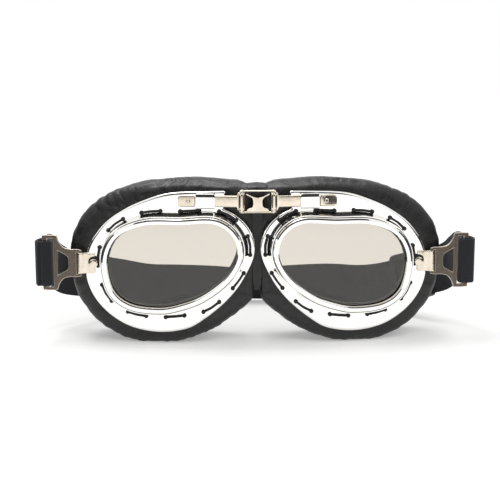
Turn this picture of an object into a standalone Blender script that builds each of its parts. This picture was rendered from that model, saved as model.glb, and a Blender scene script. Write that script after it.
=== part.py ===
"""Vintage flying goggles: two plated eyecups, a folding bridge, side clips and an elastic strap.

The pair stands on its cushions. Seen from the front, +X is to the right, +Y goes from the
lenses back to the strap, +Z is up and z = 0 is the ground. The origin is under the middle of
the whole. Each eyecup is laid out square on, in its own along, depth and height directions
measured from its bridge hinge, and then turned back by the wrap angle.
"""

import math

import bmesh
import bpy
import numpy as np
from mathutils import Matrix, Vector

mm = 0.001

# Fits that every piece shares
clearance = 0.3 * mm
overrun = 2.0 * mm
ring_points = 48
fine_points = 640
round_sides = 12
drill_sides = 8
corner_angle = math.radians(35)

# The pair as a whole
wrap_angle = math.radians(7)
fold_in_angle = math.radians(6)
slide_in = 0.4 * mm
hinge_offset = 8.4 * mm
rest_cut = 0.5 * mm

# Eyecup outlines: the lens opening, the flange round it and the cushion round that
lens_width = 69.0 * mm
lens_height = 44.8 * mm
flange_nose = 8.0 * mm
flange_temple = 13.2 * mm
flange_bottom = 14.6 * mm
flange_top = 16.5 * mm
pad_temple = 9.1 * mm
pad_bottom = 7.0 * mm
pad_top = 4.5 * mm
lens_low = pad_bottom + flange_bottom
lens_middle = lens_low + lens_height / 2
lens_top = lens_low + lens_height
lens_shares = (
    (0.18, 1.00), (0.44, 0.99), (0.70, 0.98), (0.89, 0.87), (0.98, 0.69), (1.00, 0.47),
    (0.95, 0.19), (0.82, 0.04), (0.62, 0.00), (0.47, 0.035), (0.28, 0.15), (0.10, 0.37),
    (0.01, 0.62), (0.04, 0.85),
)
flange_shares = (
    (0.172, 1.00), (0.30, 0.996), (0.44, 0.99), (0.54, 0.973), (0.65, 0.93), (0.755, 0.873),
    (0.865, 0.785), (0.94, 0.682), (0.985, 0.58), (1.00, 0.46), (0.983, 0.33), (0.93, 0.21),
    (0.84, 0.105), (0.72, 0.03), (0.56, 0.00), (0.40, 0.028), (0.29, 0.105), (0.18, 0.215),
    (0.10, 0.325), (0.045, 0.435), (0.008, 0.54), (0.003, 0.64), (0.035, 0.745),
    (0.10, 0.825), (0.18, 0.876),
)
pad_shares = (
    (0.00, 0.973), (0.19, 0.991), (0.353, 1.00), (0.514, 0.986), (0.655, 0.968),
    (0.766, 0.927), (0.867, 0.859), (0.944, 0.762), (0.988, 0.654), (1.00, 0.54),
    (0.986, 0.375), (0.943, 0.25), (0.857, 0.129), (0.736, 0.04), (0.595, 0.002),
    (0.454, 0.00), (0.343, 0.033), (0.222, 0.092), (0.111, 0.182), (0.00, 0.29),
)

# Depths through the plated shell, from the hinge plane: minus is towards the viewer
tab_thickness = 1.0 * mm
flange_front = tab_thickness / 2 + clearance
flange_thickness = 1.8 * mm
flange_back = flange_front + flange_thickness
skirt_depth = 1.7 * mm
skirt_back = flange_back + skirt_depth
skirt_wall = 1.3 * mm
edge_roll = 1.0 * mm
wall_rise = 6.8 * mm
wall_front = flange_front - wall_rise
wall_inset = 3.3 * mm
wall_lip = 0.8 * mm
wall_draft = 0.5 * mm
ledge_reach = 2.1 * mm
ledge_thickness = 2.9 * mm
ledge_front = flange_back - ledge_thickness

# Lens and the rings that hold it, stacked on the ledge
retainer_thickness = 1.4 * mm
retainer_lap = 0.3 * mm
lens_thickness = 1.8 * mm
lens_lap = 1.8 * mm
lens_dome = 0.8 * mm
dome_share = 0.75
rim_thickness = 2.3 * mm
rim_chamfer = 0.6 * mm

# Lacing
hole_inset = 5.9 * mm
hole_swell = 2.6 * mm
swell_bearing = math.radians(232)
swell_power = 10
hole_radius = 0.95 * mm
dash_count = 11
lace_radius = 0.6 * mm
lace_start = math.radians(5)

# Cushion
cushion_front = skirt_back + clearance
cushion_depth = 30.4 * mm
cushion_back = cushion_front + cushion_depth
cushion_lip = 1.5 * mm
crown_depth = 7.4 * mm
tail_inset = 3.5 * mm
brow_shares = (0.30, 0.78)
brow_depth_share = 0.3
tail_share = 0.33
tail_depth_share = 0.55
seat_shares = (0.80, 0.20)
throat_share = 0.45
throat_depth_share = 0.6
cavity_nose = 5.4 * mm
cavity_temple = 13.0 * mm
cavity_bottom = 8.9 * mm
cavity_top = 2.6 * mm
lining_thickness = 2.0 * mm
lining_shares = ((0.22, 0.0), (0.78, 0.0), (0.74, 0.6), (0.50, 1.0), (0.26, 0.6))

# Bridge tab, its keeper on the flange and its stop
tab_width = 6.0 * mm
tab_length = 33.3 * mm
knuckle_width = 9.6 * mm
link_bar_radius = 0.8 * mm
knuckle_wall = 0.5 * mm
knuckle_radius = link_bar_radius + clearance + knuckle_wall
keeper_start = 13.9 * mm
keeper_length = 10.4 * mm
keeper_wall = 0.75 * mm
keeper_roof = 0.9 * mm
keeper_root = 0.6 * mm
keeper_chamfer = 0.45 * mm
tab_height = lens_top + hole_inset + hole_radius + keeper_wall + 2 * clearance + tab_width / 2
slide_out = 2.0 * mm
tab_stop_radius = 1.2 * mm
tab_stop_rise = 0.5 * mm
tab_stop_place = keeper_start + keeper_length + slide_out + clearance + tab_stop_radius

# Bridge link
link_thickness = 1.2 * mm
link_top_bar = 1.1 * mm
link_bottom_bar = 1.8 * mm
web_shares = (
    (0.69, -1.06), (0.69, -0.98), (0.60, -0.77), (0.34, -0.58), (0.286, -0.04), (0.34, 0.35),
    (0.51, 0.56), (0.69, 0.72), (0.69, 0.86), (0.31, 0.54), (0.00, 0.40),
)

# Side tab and the stud that holds it
side_height = lens_middle
side_width = 11.0 * mm
side_start = 2.1 * mm
stud_radius = 1.6 * mm
stud_head = 2.5 * mm
stud_cap = 0.8 * mm
stud_inset = 4.9 * mm
side_axis = 2.2 * mm
side_bore = 1.3 * mm
side_wall = 0.45 * mm

# Strap clip
clip_thickness = 1.4 * mm
clip_bar = 1.4 * mm
clip_reach = 20.2 * mm
strap_width = 25.0 * mm
strap_play = 0.5 * mm
clip_rail = 1.7 * mm
clip_height = strap_width + 2 * (strap_play + clip_rail)
clip_shares = (
    (-0.035, 0.47), (0.07, 0.50), (0.27, 0.505), (0.44, 0.57), (0.56, 0.76), (0.61, 1.00),
    (0.96, 1.00), (1.00, 0.95),
)
clip_outer_bar = 2.6 * mm
clip_slot = 3.2 * mm
slot_middle = clip_reach - clip_outer_bar - clip_slot / 2
clip_inner_bar = 2.3 * mm
window_shares = ((0.00, 0.36), (0.14, 0.58), (1.00, 1.00))
window_length = 5.8 * mm
window_height = 13.2 * mm

# Elastic strap
strap_thickness = 1.3 * mm
strap_reach = 109.2 * mm
strap_lift = 0.6 * mm
strap_lean = math.radians(31)
loop_bulge = 4.0 * mm
loop_depth = 14.0 * mm
loop_width = clip_reach + loop_bulge - slot_middle
loop_shares = (
    (0.560, 1.00), (0.554, 0.88), (0.304, 0.50), (0.073, 0.25), (-0.012, 0.057),
    (0.000, -0.043), (0.079, -0.12), (0.245, -0.145), (0.548, -0.143), (0.793, -0.09),
    (0.950, 0.071), (1.000, 0.286), (0.926, 0.60), (0.811, 0.88), (0.805, 1.00),
)
strap_shares = (
    (1.000, 0.000, 1.000), (0.995, 0.040, 0.998), (0.990, 0.085, 0.965),
    (0.983, 0.135, 0.880), (0.967, 0.210, 0.735), (0.932, 0.285, 0.590),
    (0.860, 0.403, 0.4533), (0.788, 0.521, 0.3167), (0.716, 0.639, 0.180),
    (0.590, 0.800, 0.070), (0.410, 0.925, 0.030), (0.205, 0.985, 0.018),
    (0.000, 1.000, 0.015),
)
side_point_count = 4
slack_point_count = 5
straight_point_count = 3
strap_step_count = 3

# Slider on the strap
slider_length = 28.0 * mm
slider_bar = 3.0 * mm
slider_rail = 1.9 * mm
slider_height = strap_width + 2 * (strap_play + slider_rail)
slider_wall = 1.5 * mm
slider_corner = 3.2 * mm

# Leather between the cushions
gusset_depth = 20.0 * mm
gusset_low = 26.0 * mm
gusset_high = 85.5 * mm
gusset_shares = ((0.0, 0.0), (0.5, 0.02), (1.0, 0.25), (1.0, 0.92), (0.63, 1.0), (0.02, 1.0))


def clear_scene():
    """Removes every object that the file opened with."""
    for thing in list(bpy.data.objects):
        bpy.data.objects.remove(thing, do_unlink=True)


def finish(name, colour, roughness, metallic):
    """A plain material with the colour, roughness and metallic value of one finish."""
    material = bpy.data.materials.new(name)
    material.use_nodes = True
    shader = material.node_tree.nodes["Principled BSDF"]
    shader.inputs["Base Color"].default_value = (*colour, 1.0)
    shader.inputs["Roughness"].default_value = roughness
    shader.inputs["Metallic"].default_value = metallic
    return material


def add_object(name, mesh, material, parent):
    """Puts a mesh into the scene under its parent, shaded smooth with its corners kept."""
    mesh.materials.append(material)
    mesh.shade_smooth()
    mesh.set_sharp_from_angle(angle=corner_angle)
    thing = bpy.data.objects.new(name, mesh)
    bpy.context.scene.collection.objects.link(thing)
    thing.parent = parent
    return thing


def add_empty(name, place, turn=0.0, parent=None):
    """An empty on a joint's axis, turned about the vertical."""
    empty = bpy.data.objects.new(name, None)
    bpy.context.scene.collection.objects.link(empty)
    empty.location = place
    empty.rotation_euler = (0.0, 0.0, turn)
    empty.parent = parent
    return empty


def mesh_from(name, points, faces):
    """A mesh whose faces are made to point outwards."""
    mesh = bpy.data.meshes.new(name)
    mesh.from_pydata([tuple(point) for point in points], [], [tuple(face) for face in faces])
    work = bmesh.new()
    work.from_mesh(mesh)
    bmesh.ops.recalc_face_normals(work, faces=work.faces)
    work.to_mesh(mesh)
    work.free()
    return mesh


def combine(target, helper, operation):
    """Cuts the helper from the target, or joins it on, and keeps the helper out of renders."""
    helper.hide_render = True
    helper.display_type = "WIRE"
    modifier = target.modifiers.new(operation.lower(), "BOOLEAN")
    modifier.operation = operation
    modifier.solver = "EXACT"
    modifier.object = helper


def prism(name, outline, place, low, high):
    """An outline of flat points carried straight from low to high by the place function."""
    count = len(outline)
    points = [place(a, b, low) for a, b in outline] + [place(a, b, high) for a, b in outline]
    faces = [(i, (i + 1) % count, (i + 1) % count + count, i + count) for i in range(count)]
    faces += [tuple(range(count)), tuple(range(count, 2 * count))]
    return mesh_from(name, points, faces)


def circle(centre_a, centre_b, radius, sides=round_sides):
    """The corners of a round section."""
    turns = np.arange(sides) * 2 * math.pi / sides
    return [(centre_a + radius * math.cos(t), centre_b + radius * math.sin(t)) for t in turns]


def ring_solid(name, rings):
    """A closed tube-like skin through rings of points, the last joined to the first."""
    count = len(rings[0])
    points = np.concatenate(rings)
    faces = []
    for k in range(len(rings)):
        after = (k + 1) % len(rings)
        for i in range(count):
            j = (i + 1) % count
            faces.append((k * count + i, k * count + j, after * count + j, after * count + i))
    return mesh_from(name, points, faces)


def smooth_curve(points, closed, steps=8):
    """A Catmull-Rom curve through the points, with some steps on each stretch."""
    points = np.asarray(points, float)
    count = len(points)
    if closed:
        ends = [points[(np.arange(count) + k) % count] for k in (-1, 0, 1, 2)]
    else:
        padded = np.vstack([2 * points[0] - points[1], points, 2 * points[-1] - points[-2]])
        ends = [padded[k:count - 1 + k] for k in range(4)]
    before, start, end, after = (each[:, None, :] for each in ends)
    t = (np.arange(steps) / steps)[None, :, None]
    curve = 0.5 * (
        2 * start
        + (end - before) * t
        + (2 * before - 5 * start + 4 * end - after) * t**2
        + (3 * start - before - 3 * end + after) * t**3
    )
    curve = curve.reshape(-1, points.shape[1])
    return curve if closed else np.vstack([curve, points[-1]])


def nose_limit(depth):
    """Where the centre plane comes, along the cup, when the cup is folded and slid right in."""
    most = wrap_angle + fold_in_angle
    reach = clearance + slide_in - hinge_offset + depth * math.sin(most)
    return reach / math.cos(most)


# Where the outlines lie on the cup, along it and in height
frame_nose = nose_limit(skirt_back)
frame_low = pad_bottom
frame_width = flange_nose + lens_width + flange_temple
frame_tall = flange_bottom + lens_height + flange_top
frame_temple = frame_nose + frame_width
lens_nose = frame_nose + flange_nose
cup_centre = np.array((lens_nose + lens_width / 2, lens_middle))
pad_nose = frame_nose
pad_low = frame_low - pad_bottom - rest_cut
pad_width = frame_temple + pad_temple - pad_nose
pad_tall = frame_low + frame_tall + pad_top - pad_low


def placed(shares, corner, width, height):
    """Shares of a width and a height, as points from the corner."""
    return np.asarray(shares) * (width, height) + corner


def bearings(points):
    """The direction of each point from the cup's centre, from 0 to a full turn."""
    apart = np.asarray(points) - cup_centre
    return np.arctan2(apart[:, 1], apart[:, 0]) % (2 * math.pi)


def at_bearings(points, angles):
    """The outline's points in the given directions from the cup's centre."""
    apart = np.asarray(points) - cup_centre
    found = bearings(points)
    order = np.argsort(found)
    reach = np.hypot(apart[:, 0], apart[:, 1])[order]
    radius = np.interp(angles, found[order], reach, period=2 * math.pi)
    return cup_centre + np.stack([radius * np.cos(angles), radius * np.sin(angles)], 1)


def ring_angles():
    """Even directions round the cup, with two moved onto the flange's corners by the bridge."""
    angles = np.arange(ring_points) * 2 * math.pi / ring_points
    ends = placed(flange_shares, (frame_nose, frame_low), frame_width, frame_tall)[[0, -1]]
    for corner in bearings(ends):
        angles[np.argmin(np.abs(angles - corner))] = corner
    return angles


def closed_open_curve(points):
    """A smooth curve through the points, closed by a straight edge from its end to its start."""
    curve = smooth_curve(points, closed=False)
    share = np.linspace(0, 1, ring_points)[1:-1, None]
    return np.vstack([curve, curve[-1] * (1 - share) + curve[0] * share])


def outward(points):
    """The outward direction at each point of an outline that runs anticlockwise."""
    along = np.roll(points, -1, 0) - np.roll(points, 1, 0)
    normal = np.stack([along[:, 1], -along[:, 0]], 1)
    return normal / np.linalg.norm(normal, axis=1, keepdims=True)


angles = ring_angles()
lens_curve = smooth_curve(
    placed(lens_shares, (lens_nose, lens_low), lens_width, lens_height), closed=True
)
lens_edge = at_bearings(lens_curve, angles)
lens_normal = outward(lens_edge)
flange_edge = at_bearings(
    closed_open_curve(
        placed(flange_shares, (frame_nose, frame_low), frame_width, frame_tall)
    ),
    angles,
)
pad_edge = at_bearings(
    closed_open_curve(placed(pad_shares, (pad_nose, pad_low), pad_width, pad_tall)), angles
)
cavity_edge = at_bearings(
    smooth_curve(
        placed(
            lens_shares,
            (lens_nose + cavity_nose, lens_low - cavity_bottom),
            lens_width - cavity_nose + cavity_temple,
            lens_height + cavity_bottom + cavity_top,
        ),
        closed=True,
    ),
    angles,
)
swell = hole_swell * np.maximum(np.cos(angles - swell_bearing), 0) ** swell_power
hole_line = at_bearings(
    smooth_curve(lens_edge + (hole_inset + swell[:, None]) * lens_normal, closed=True),
    np.linspace(0, 2 * math.pi, fine_points, endpoint=False) + lace_start,
)


def at_depth(side, points, depth):
    """A ring of cup points at one depth, mirrored for the left cup."""
    depths = np.full(len(points), depth)
    return np.stack([side * points[:, 0], depths, points[:, 1]], 1)


def round_lens(distance):
    """The lens opening's outline moved outwards."""
    return lens_edge + distance * lens_normal


def within(points, distance):
    """An outline drawn in towards the cup's centre by a distance."""
    apart = points - cup_centre
    reach = np.linalg.norm(apart, axis=1, keepdims=True)
    return cup_centre + apart * (reach - distance) / reach


def between(inner, outer, share):
    """An outline part of the way from one outline to another."""
    return inner + (outer - inner) * share


def beyond_nose(points, depth):
    """The outline with what would reach past the nose plane moved back onto it."""
    limit = nose_limit(depth)
    return np.stack([np.maximum(points[:, 0], limit), points[:, 1]], 1)


def cup_prism(side):
    """The place function of a prism that runs through the cup's depth."""
    return lambda along, height, depth: (side * along, depth, height)


def upright_prism(side):
    """The place function of a prism that runs upwards."""
    return lambda along, depth, height: (side * along, depth, height)


def lengthwise_prism(side):
    """The place function of a prism that runs along the cup."""
    return lambda height, depth, along: (side * along, depth, height)


def as_given(along, height, depth):
    """The place function of a prism that is laid out in its parent's own directions."""
    return along, height, depth


def lace_places():
    """The lace holes and the middles between them, evenly spaced along the hole line."""
    steps = np.linalg.norm(np.roll(hole_line, -1, 0) - hole_line, axis=1)
    run = np.concatenate([[0.0], np.cumsum(steps)])
    loop = np.vstack([hole_line, hole_line[:1]])
    count = 4 * dash_count
    stations = (np.arange(count) - 1) * run[-1] / count % run[-1]
    return np.stack([np.interp(stations, run, loop[:, k]) for k in (0, 1)], 1)


def make_shell(side, parent, chrome):
    """The plated shell: wall, lens ledge, laced flange, rolled skirt, keeper and stud."""
    name = shell_name(side)
    flange_in = within(flange_edge, edge_roll)
    skirt_in = within(flange_edge, skirt_wall)
    rings = [
        at_depth(side, round_lens(wall_inset), wall_front),
        at_depth(side, round_lens(wall_inset + wall_lip), wall_front),
        at_depth(side, round_lens(wall_inset + wall_lip + wall_draft), flange_front),
        at_depth(side, flange_in, flange_front),
        at_depth(side, flange_edge, flange_front + edge_roll),
        at_depth(side, flange_edge, skirt_back),
        at_depth(side, skirt_in, skirt_back),
        at_depth(side, skirt_in, flange_back),
        at_depth(side, round_lens(wall_inset - ledge_reach), flange_back),
        at_depth(side, round_lens(wall_inset - ledge_reach), ledge_front),
        at_depth(side, round_lens(wall_inset), ledge_front),
    ]
    shell = add_object(name, ring_solid(name, rings), chrome, parent)

    half = tab_width / 2 + clearance
    roof = -(tab_thickness / 2 + clearance)
    root = flange_front + keeper_root
    outer = half + keeper_wall
    arch = [
        (-outer, root), (-outer, roof - keeper_roof + keeper_chamfer),
        (-outer + keeper_chamfer, roof - keeper_roof),
        (outer - keeper_chamfer, roof - keeper_roof),
        (outer, roof - keeper_roof + keeper_chamfer), (outer, root),
        (half, root), (half, roof), (-half, roof), (-half, root),
    ]
    arch = [(tab_height + height, depth) for height, depth in arch]
    keeper = prism(
        name + "_keeper", arch, lengthwise_prism(side), keeper_start, keeper_start + keeper_length
    )
    combine(shell, add_object(name + "_keeper", keeper, chrome, parent), "UNION")

    stud_along = frame_temple - stud_inset
    top = -(tab_thickness / 2 + clearance)
    profile = [
        (stud_radius, flange_front + keeper_root), (stud_radius, top), (stud_head, top),
        (stud_head, top - stud_cap / 2), (stud_head / 2, top - stud_cap),
    ]
    turns = np.arange(round_sides) * 2 * math.pi / round_sides
    points = []
    for radius, depth in profile:
        for turn in turns:
            along = stud_along + radius * math.cos(turn)
            points.append((side * along, depth, side_height + radius * math.sin(turn)))
    faces = []
    for k in range(len(profile) - 1):
        for i in range(round_sides):
            j = (i + 1) % round_sides
            low = k * round_sides
            high = low + round_sides
            faces.append((low + i, low + j, high + j, high + i))
    faces.append(tuple(range(round_sides)))
    faces.append(tuple(range(len(points) - round_sides, len(points))))
    stud = mesh_from(name + "_stud", points, faces)
    combine(shell, add_object(name + "_stud", stud, chrome, parent), "UNION")

    drills = bpy.data.meshes.new(name + "_drills")
    work = bmesh.new()
    for along, height in lace_places()[::2]:
        drill = prism(
            name + "_drill", circle(along, height, hole_radius, drill_sides), cup_prism(side),
            flange_front - overrun / 2, flange_back + overrun / 2,
        )
        work.from_mesh(drill)
        bpy.data.meshes.remove(drill)
    work.to_mesh(drills)
    work.free()
    combine(shell, add_object(name + "_drills", drills, chrome, parent), "DIFFERENCE")


def shell_name(side):
    """The shell's node name on one side."""
    return "frame_shell_" + side_word(side)


def side_word(side):
    """The word for a side, as the picture shows it."""
    return "right" if side > 0 else "left"


def make_lens_stack(side, parent, chrome, clear, black, rubber):
    """The lens, its rubber gasket, the snap rim in front and the retaining ring behind."""
    word = side_word(side)
    room = wall_inset - clearance
    retainer_back = ledge_front - clearance
    retainer_front = retainer_back - retainer_thickness
    gasket_back = retainer_front - clearance
    lens_back = gasket_back - clearance
    lens_front = lens_back - lens_thickness
    rim_back = lens_front - clearance
    rim_front = rim_back - rim_thickness

    retainer = [
        at_depth(side, round_lens(-retainer_lap), retainer_front),
        at_depth(side, round_lens(room), retainer_front),
        at_depth(side, round_lens(room), retainer_back),
        at_depth(side, round_lens(-retainer_lap), retainer_back),
    ]
    name = "retaining_ring_" + word
    add_object(name, ring_solid(name, retainer), black, parent)

    gasket = [
        at_depth(side, round_lens(lens_lap + clearance), lens_front),
        at_depth(side, round_lens(room), lens_front),
        at_depth(side, round_lens(room), gasket_back),
        at_depth(side, round_lens(lens_lap + clearance), gasket_back),
    ]
    name = "lens_gasket_" + word
    add_object(name, ring_solid(name, gasket), rubber, parent)

    rim = [
        at_depth(side, round_lens(0.0), rim_front + rim_chamfer),
        at_depth(side, round_lens(rim_chamfer), rim_front),
        at_depth(side, round_lens(room - rim_chamfer), rim_front),
        at_depth(side, round_lens(room), rim_front + rim_chamfer),
        at_depth(side, round_lens(room), rim_back),
        at_depth(side, round_lens(0.0), rim_back),
    ]
    name = "lens_rim_" + word
    add_object(name, ring_solid(name, rim), chrome, parent)

    edge = round_lens(lens_lap)
    half = between(cup_centre, edge, 0.5)
    count = ring_points
    points = [np.array([[side * cup_centre[0], lens_front - lens_dome, cup_centre[1]]])]
    points.append(at_depth(side, half, lens_front - lens_dome * dome_share))
    points.append(at_depth(side, edge, lens_front))
    points.append(at_depth(side, edge, lens_back))
    points.append(at_depth(side, half, lens_back - lens_dome * dome_share))
    points.append(np.array([[side * cup_centre[0], lens_back - lens_dome, cup_centre[1]]]))
    last = 4 * count + 1
    faces = []
    for i in range(count):
        j = (i + 1) % count
        faces.append((0, 1 + i, 1 + j))
        faces.append((last, last - count + j, last - count + i))
        for k in range(3):
            low = 1 + k * count
            faces.append((low + i, low + j, low + count + j, low + count + i))
    name = "lens_" + word
    add_object(name, mesh_from(name, np.concatenate(points), faces), clear, parent)


def make_cushion(side, parent, leather, velvet):
    """The crowned leather roll round the eye and the soft lining that meets the face."""
    word = side_word(side)
    shoulder = cushion_back - cushion_lip
    back_edge = within(pad_edge, tail_inset)
    middle = (cushion_front + cushion_back) / 2
    brow = cushion_front + crown_depth * brow_depth_share
    tail = between(middle, cushion_back, tail_depth_share)
    throat = between(cushion_front, middle, throat_depth_share)
    throat_edge = round_lens(cushion_lip)
    rings = (
        (throat_edge, cushion_front),
        (within(flange_edge, skirt_wall), cushion_front),
        (between(flange_edge, pad_edge, brow_shares[0]), cushion_front),
        (between(flange_edge, pad_edge, brow_shares[1]), brow),
        (pad_edge, cushion_front + crown_depth),
        (pad_edge, middle),
        (within(pad_edge, tail_inset * tail_share), tail),
        (back_edge, shoulder),
        (between(cavity_edge, back_edge, seat_shares[0]), cushion_back),
        (between(cavity_edge, back_edge, seat_shares[1]), cushion_back),
        (cavity_edge, shoulder),
        (between(throat_edge, cavity_edge, throat_share), throat),
    )
    name = "cushion_" + word
    skin = ring_solid(
        name, [at_depth(side, beyond_nose(outline, depth), depth) for outline, depth in rings]
    )
    work = bmesh.new()
    work.from_mesh(skin)
    cut = bmesh.ops.bisect_plane(
        work,
        geom=work.verts[:] + work.edges[:] + work.faces[:],
        plane_co=(0.0, 0.0, 0.0),
        plane_no=(0.0, 0.0, -1.0),
        clear_outer=True,
    )
    edges = [piece for piece in cut["geom_cut"] if isinstance(piece, bmesh.types.BMEdge)]
    bmesh.ops.holes_fill(work, edges=edges)
    bmesh.ops.recalc_face_normals(work, faces=work.faces)
    work.to_mesh(skin)
    work.free()
    add_object(name, skin, leather, parent)

    seat = cushion_back + clearance
    rings = []
    for share, rise_share in lining_shares:
        depth = seat + lining_thickness * rise_share
        outline = between(cavity_edge, back_edge, share)
        rings.append(at_depth(side, beyond_nose(outline, depth), depth))
    name = "face_lining_" + word
    add_object(name, ring_solid(name, rings), velvet, parent)


def make_lace(side, parent, cord):
    """One cord in a running stitch: over the flange between two holes, behind it to the next."""
    name = "lace_" + side_word(side)
    front = flange_front - clearance - lace_radius
    back = flange_back + clearance + lace_radius
    places = lace_places()
    route = []
    for k in range(0, len(places), 4):
        first, second = k, (k + 2) % len(places)
        route += [(first, back), (first, front), (first + 1, front)]
        route += [(second, front), (second, back), (second + 1, back)]
    curve = bpy.data.curves.new(name, "CURVE")
    curve.dimensions = "3D"
    curve.bevel_depth = lace_radius
    curve.bevel_resolution = 1
    spline = curve.splines.new("POLY")
    spline.points.add(len(route) - 1)
    for point, (k, depth) in zip(spline.points, route):
        along, height = places[k]
        point.co = (side * along, depth, height, 1.0)
    spline.use_cyclic_u = True
    thing = bpy.data.objects.new(name, curve)
    curve.materials.append(cord)
    bpy.context.scene.collection.objects.link(thing)
    thing.parent = parent


def barrel(name, side, along, radius, low, high, material, parent):
    """An upright round bar, used to make or to bore a knuckle."""
    mesh = prism(name, circle(along, 0.0, radius), upright_prism(side), low, high)
    return add_object(name, mesh, material, parent)


def make_bridge_tab(side, parent, nickel):
    """The sliding tab: a flat strip with a knuckle on the bridge link and a pressed stop."""
    name = "bridge_tab_" + side_word(side)
    half = tab_width / 2
    wide = knuckle_width / 2
    root = link_bar_radius + clearance + knuckle_wall / 2
    shoulder = knuckle_radius + clearance
    outline = [
        (root, tab_height - wide), (shoulder, tab_height - wide), (shoulder, tab_height - half),
        (tab_length, tab_height - half), (tab_length, tab_height + half),
        (shoulder, tab_height + half), (shoulder, tab_height + wide), (root, tab_height + wide),
    ]
    strip = prism(name, outline, cup_prism(side), -tab_thickness / 2, tab_thickness / 2)
    tab = add_object(name, strip, nickel, parent)
    low, high = tab_height - wide, tab_height + wide
    knuckle = barrel(name + "_knuckle", side, 0.0, knuckle_radius, low, high, nickel, parent)
    combine(tab, knuckle, "UNION")
    bore = link_bar_radius + clearance
    low, high = low - overrun, high + overrun
    combine(tab, barrel(name + "_bore", side, 0.0, bore, low, high, nickel, parent), "DIFFERENCE")
    stop = prism(
        name + "_stop", circle(tab_stop_place, tab_height, tab_stop_radius), cup_prism(side),
        0.0, -(tab_thickness / 2 + tab_stop_rise),
    )
    combine(tab, add_object(name + "_stop", stop, nickel, parent), "UNION")


def make_bridge_link(parent, nickel):
    """The folding link: a frame of two upright round bars and two flats, with a waisted web."""
    inside = knuckle_width / 2 + clearance
    low = tab_height - inside - link_bottom_bar
    high = tab_height + inside + link_top_bar
    edge = hinge_offset
    place = cup_prism(1)
    name = "bridge_link"
    outline = [(-edge, low), (edge, low), (edge, high), (-edge, high)]
    plate = prism(name, outline, place, -link_thickness / 2, link_thickness / 2)
    link = add_object(name, plate, nickel, parent)
    wide = hinge_offset + overrun
    window = [(wide, -inside), (wide, inside), (-wide, inside), (-wide, -inside)]
    web = [(x * hinge_offset, y * knuckle_width / 2) for x, y in web_shares]
    window += [(-x, y) for x, y in web] + web[-2::-1]
    window = [(along, tab_height + height) for along, height in window]
    cutter = prism(name + "_window", window, place, -link_thickness, link_thickness)
    combine(link, add_object(name + "_window", cutter, nickel, parent), "DIFFERENCE")
    for side in (-1, 1):
        bar = barrel(
            name + "_bar", side, hinge_offset, link_bar_radius, low, high, nickel, parent
        )
        combine(link, bar, "UNION")


def make_side_tab(side, parent, nickel):
    """The side tab: a short strip on the flange, rolled round the clip's bar."""
    name = "side_tab_" + side_word(side)
    half = side_width / 2
    low, high = side_height - half, side_height + half
    start = frame_temple - flange_temple + hole_inset + side_start
    axis = frame_temple + side_axis
    root = axis - side_bore - side_wall / 2
    outline = [(start, low), (root, low), (root, high), (start, high)]
    strip = prism(name, outline, cup_prism(side), -tab_thickness / 2, tab_thickness / 2)
    tab = add_object(name, strip, nickel, parent)
    roll = side_bore + side_wall
    combine(tab, barrel(name + "_roll", side, axis, roll, low, high, nickel, parent), "UNION")
    low, high = low - overrun, high + overrun
    bore = barrel(name + "_bore", side, axis, side_bore, low, high, nickel, parent)
    combine(tab, bore, "DIFFERENCE")
    stud = circle(frame_temple - stud_inset, side_height, stud_radius + clearance)
    hole = prism(name + "_hole", stud, cup_prism(side), -tab_thickness, tab_thickness)
    combine(tab, add_object(name + "_hole", hole, nickel, parent), "DIFFERENCE")


def make_clip(side, parent, antique):
    """The strap clip: a flat frame with the hinge bar, a window and the strap's slot."""
    name = "strap_clip_" + side_word(side)
    half = clip_height / 2
    depth = clip_thickness / 2
    place = cup_prism(side)
    upper = [(x * clip_reach, y * half) for x, y in clip_shares]
    outline = upper + [(x, -y) for x, y in reversed(upper)]
    clip = add_object(name, prism(name, outline, place, -depth, depth), antique, parent)

    def cut(label, corners):
        cutter = prism(label, corners, place, -depth - overrun, depth + overrun)
        combine(clip, add_object(label, cutter, antique, parent), "DIFFERENCE")

    def box(low, high, tall):
        return [(low, -tall), (high, -tall), (high, tall), (low, tall)]

    roll = side_bore + side_wall + clearance
    cut(name + "_hinge_slot", box(clip_bar / 2, roll, side_width / 2 + clearance))
    slot_end = clip_reach - clip_outer_bar
    slot_start = slot_end - clip_slot
    cut(name + "_strap_slot", box(slot_start, slot_end, half - clip_rail))
    window_end = slot_start - clip_inner_bar
    window_start = window_end - window_length
    upper = [
        (window_start + x * window_length, y * window_height / 2) for x, y in window_shares
    ]
    cut(name + "_window", upper + [(x, -y) for x, y in reversed(upper)])


def band(name, centres, ups, normals):
    """A flat strap carried along its centre line, with an upward and an outward direction."""
    half, thick = strap_width / 2, strap_thickness / 2
    corners = ((-half, -thick), (half, -thick), (half, thick), (-half, thick))
    points = np.concatenate([centres + a * ups + b * normals for a, b in corners])
    count = len(centres)
    faces = []
    for k in range(4):
        after = (k + 1) % 4
        for i in range(count - 1):
            low, high = k * count + i, after * count + i
            faces.append((low, low + 1, high + 1, high))
    faces.append(tuple(k * count for k in range(4)))
    faces.append(tuple(k * count + count - 1 for k in range(4)))
    return mesh_from(name, points, faces)


def make_strap_loop(side, parent, elastic):
    """The strap's end, passed through the clip's slot and folded back round its outer bar."""
    name = "strap_loop_" + side_word(side)
    corners = np.asarray(loop_shares) * (loop_width, loop_depth) + (slot_middle, 0.0)
    route = smooth_curve(corners, closed=False, steps=2)
    along = np.gradient(route, axis=0)
    along /= np.linalg.norm(along, axis=1, keepdims=True)
    count = len(route)
    zero = np.zeros(count)
    centres = np.stack([side * route[:, 0], route[:, 1], zero], 1)
    normals = np.stack([side * along[:, 1], -along[:, 0], zero], 1)
    ups = np.stack([zero, zero, np.ones(count)], 1)
    add_object(name, band(name, centres, ups, normals), elastic, parent)


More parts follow.
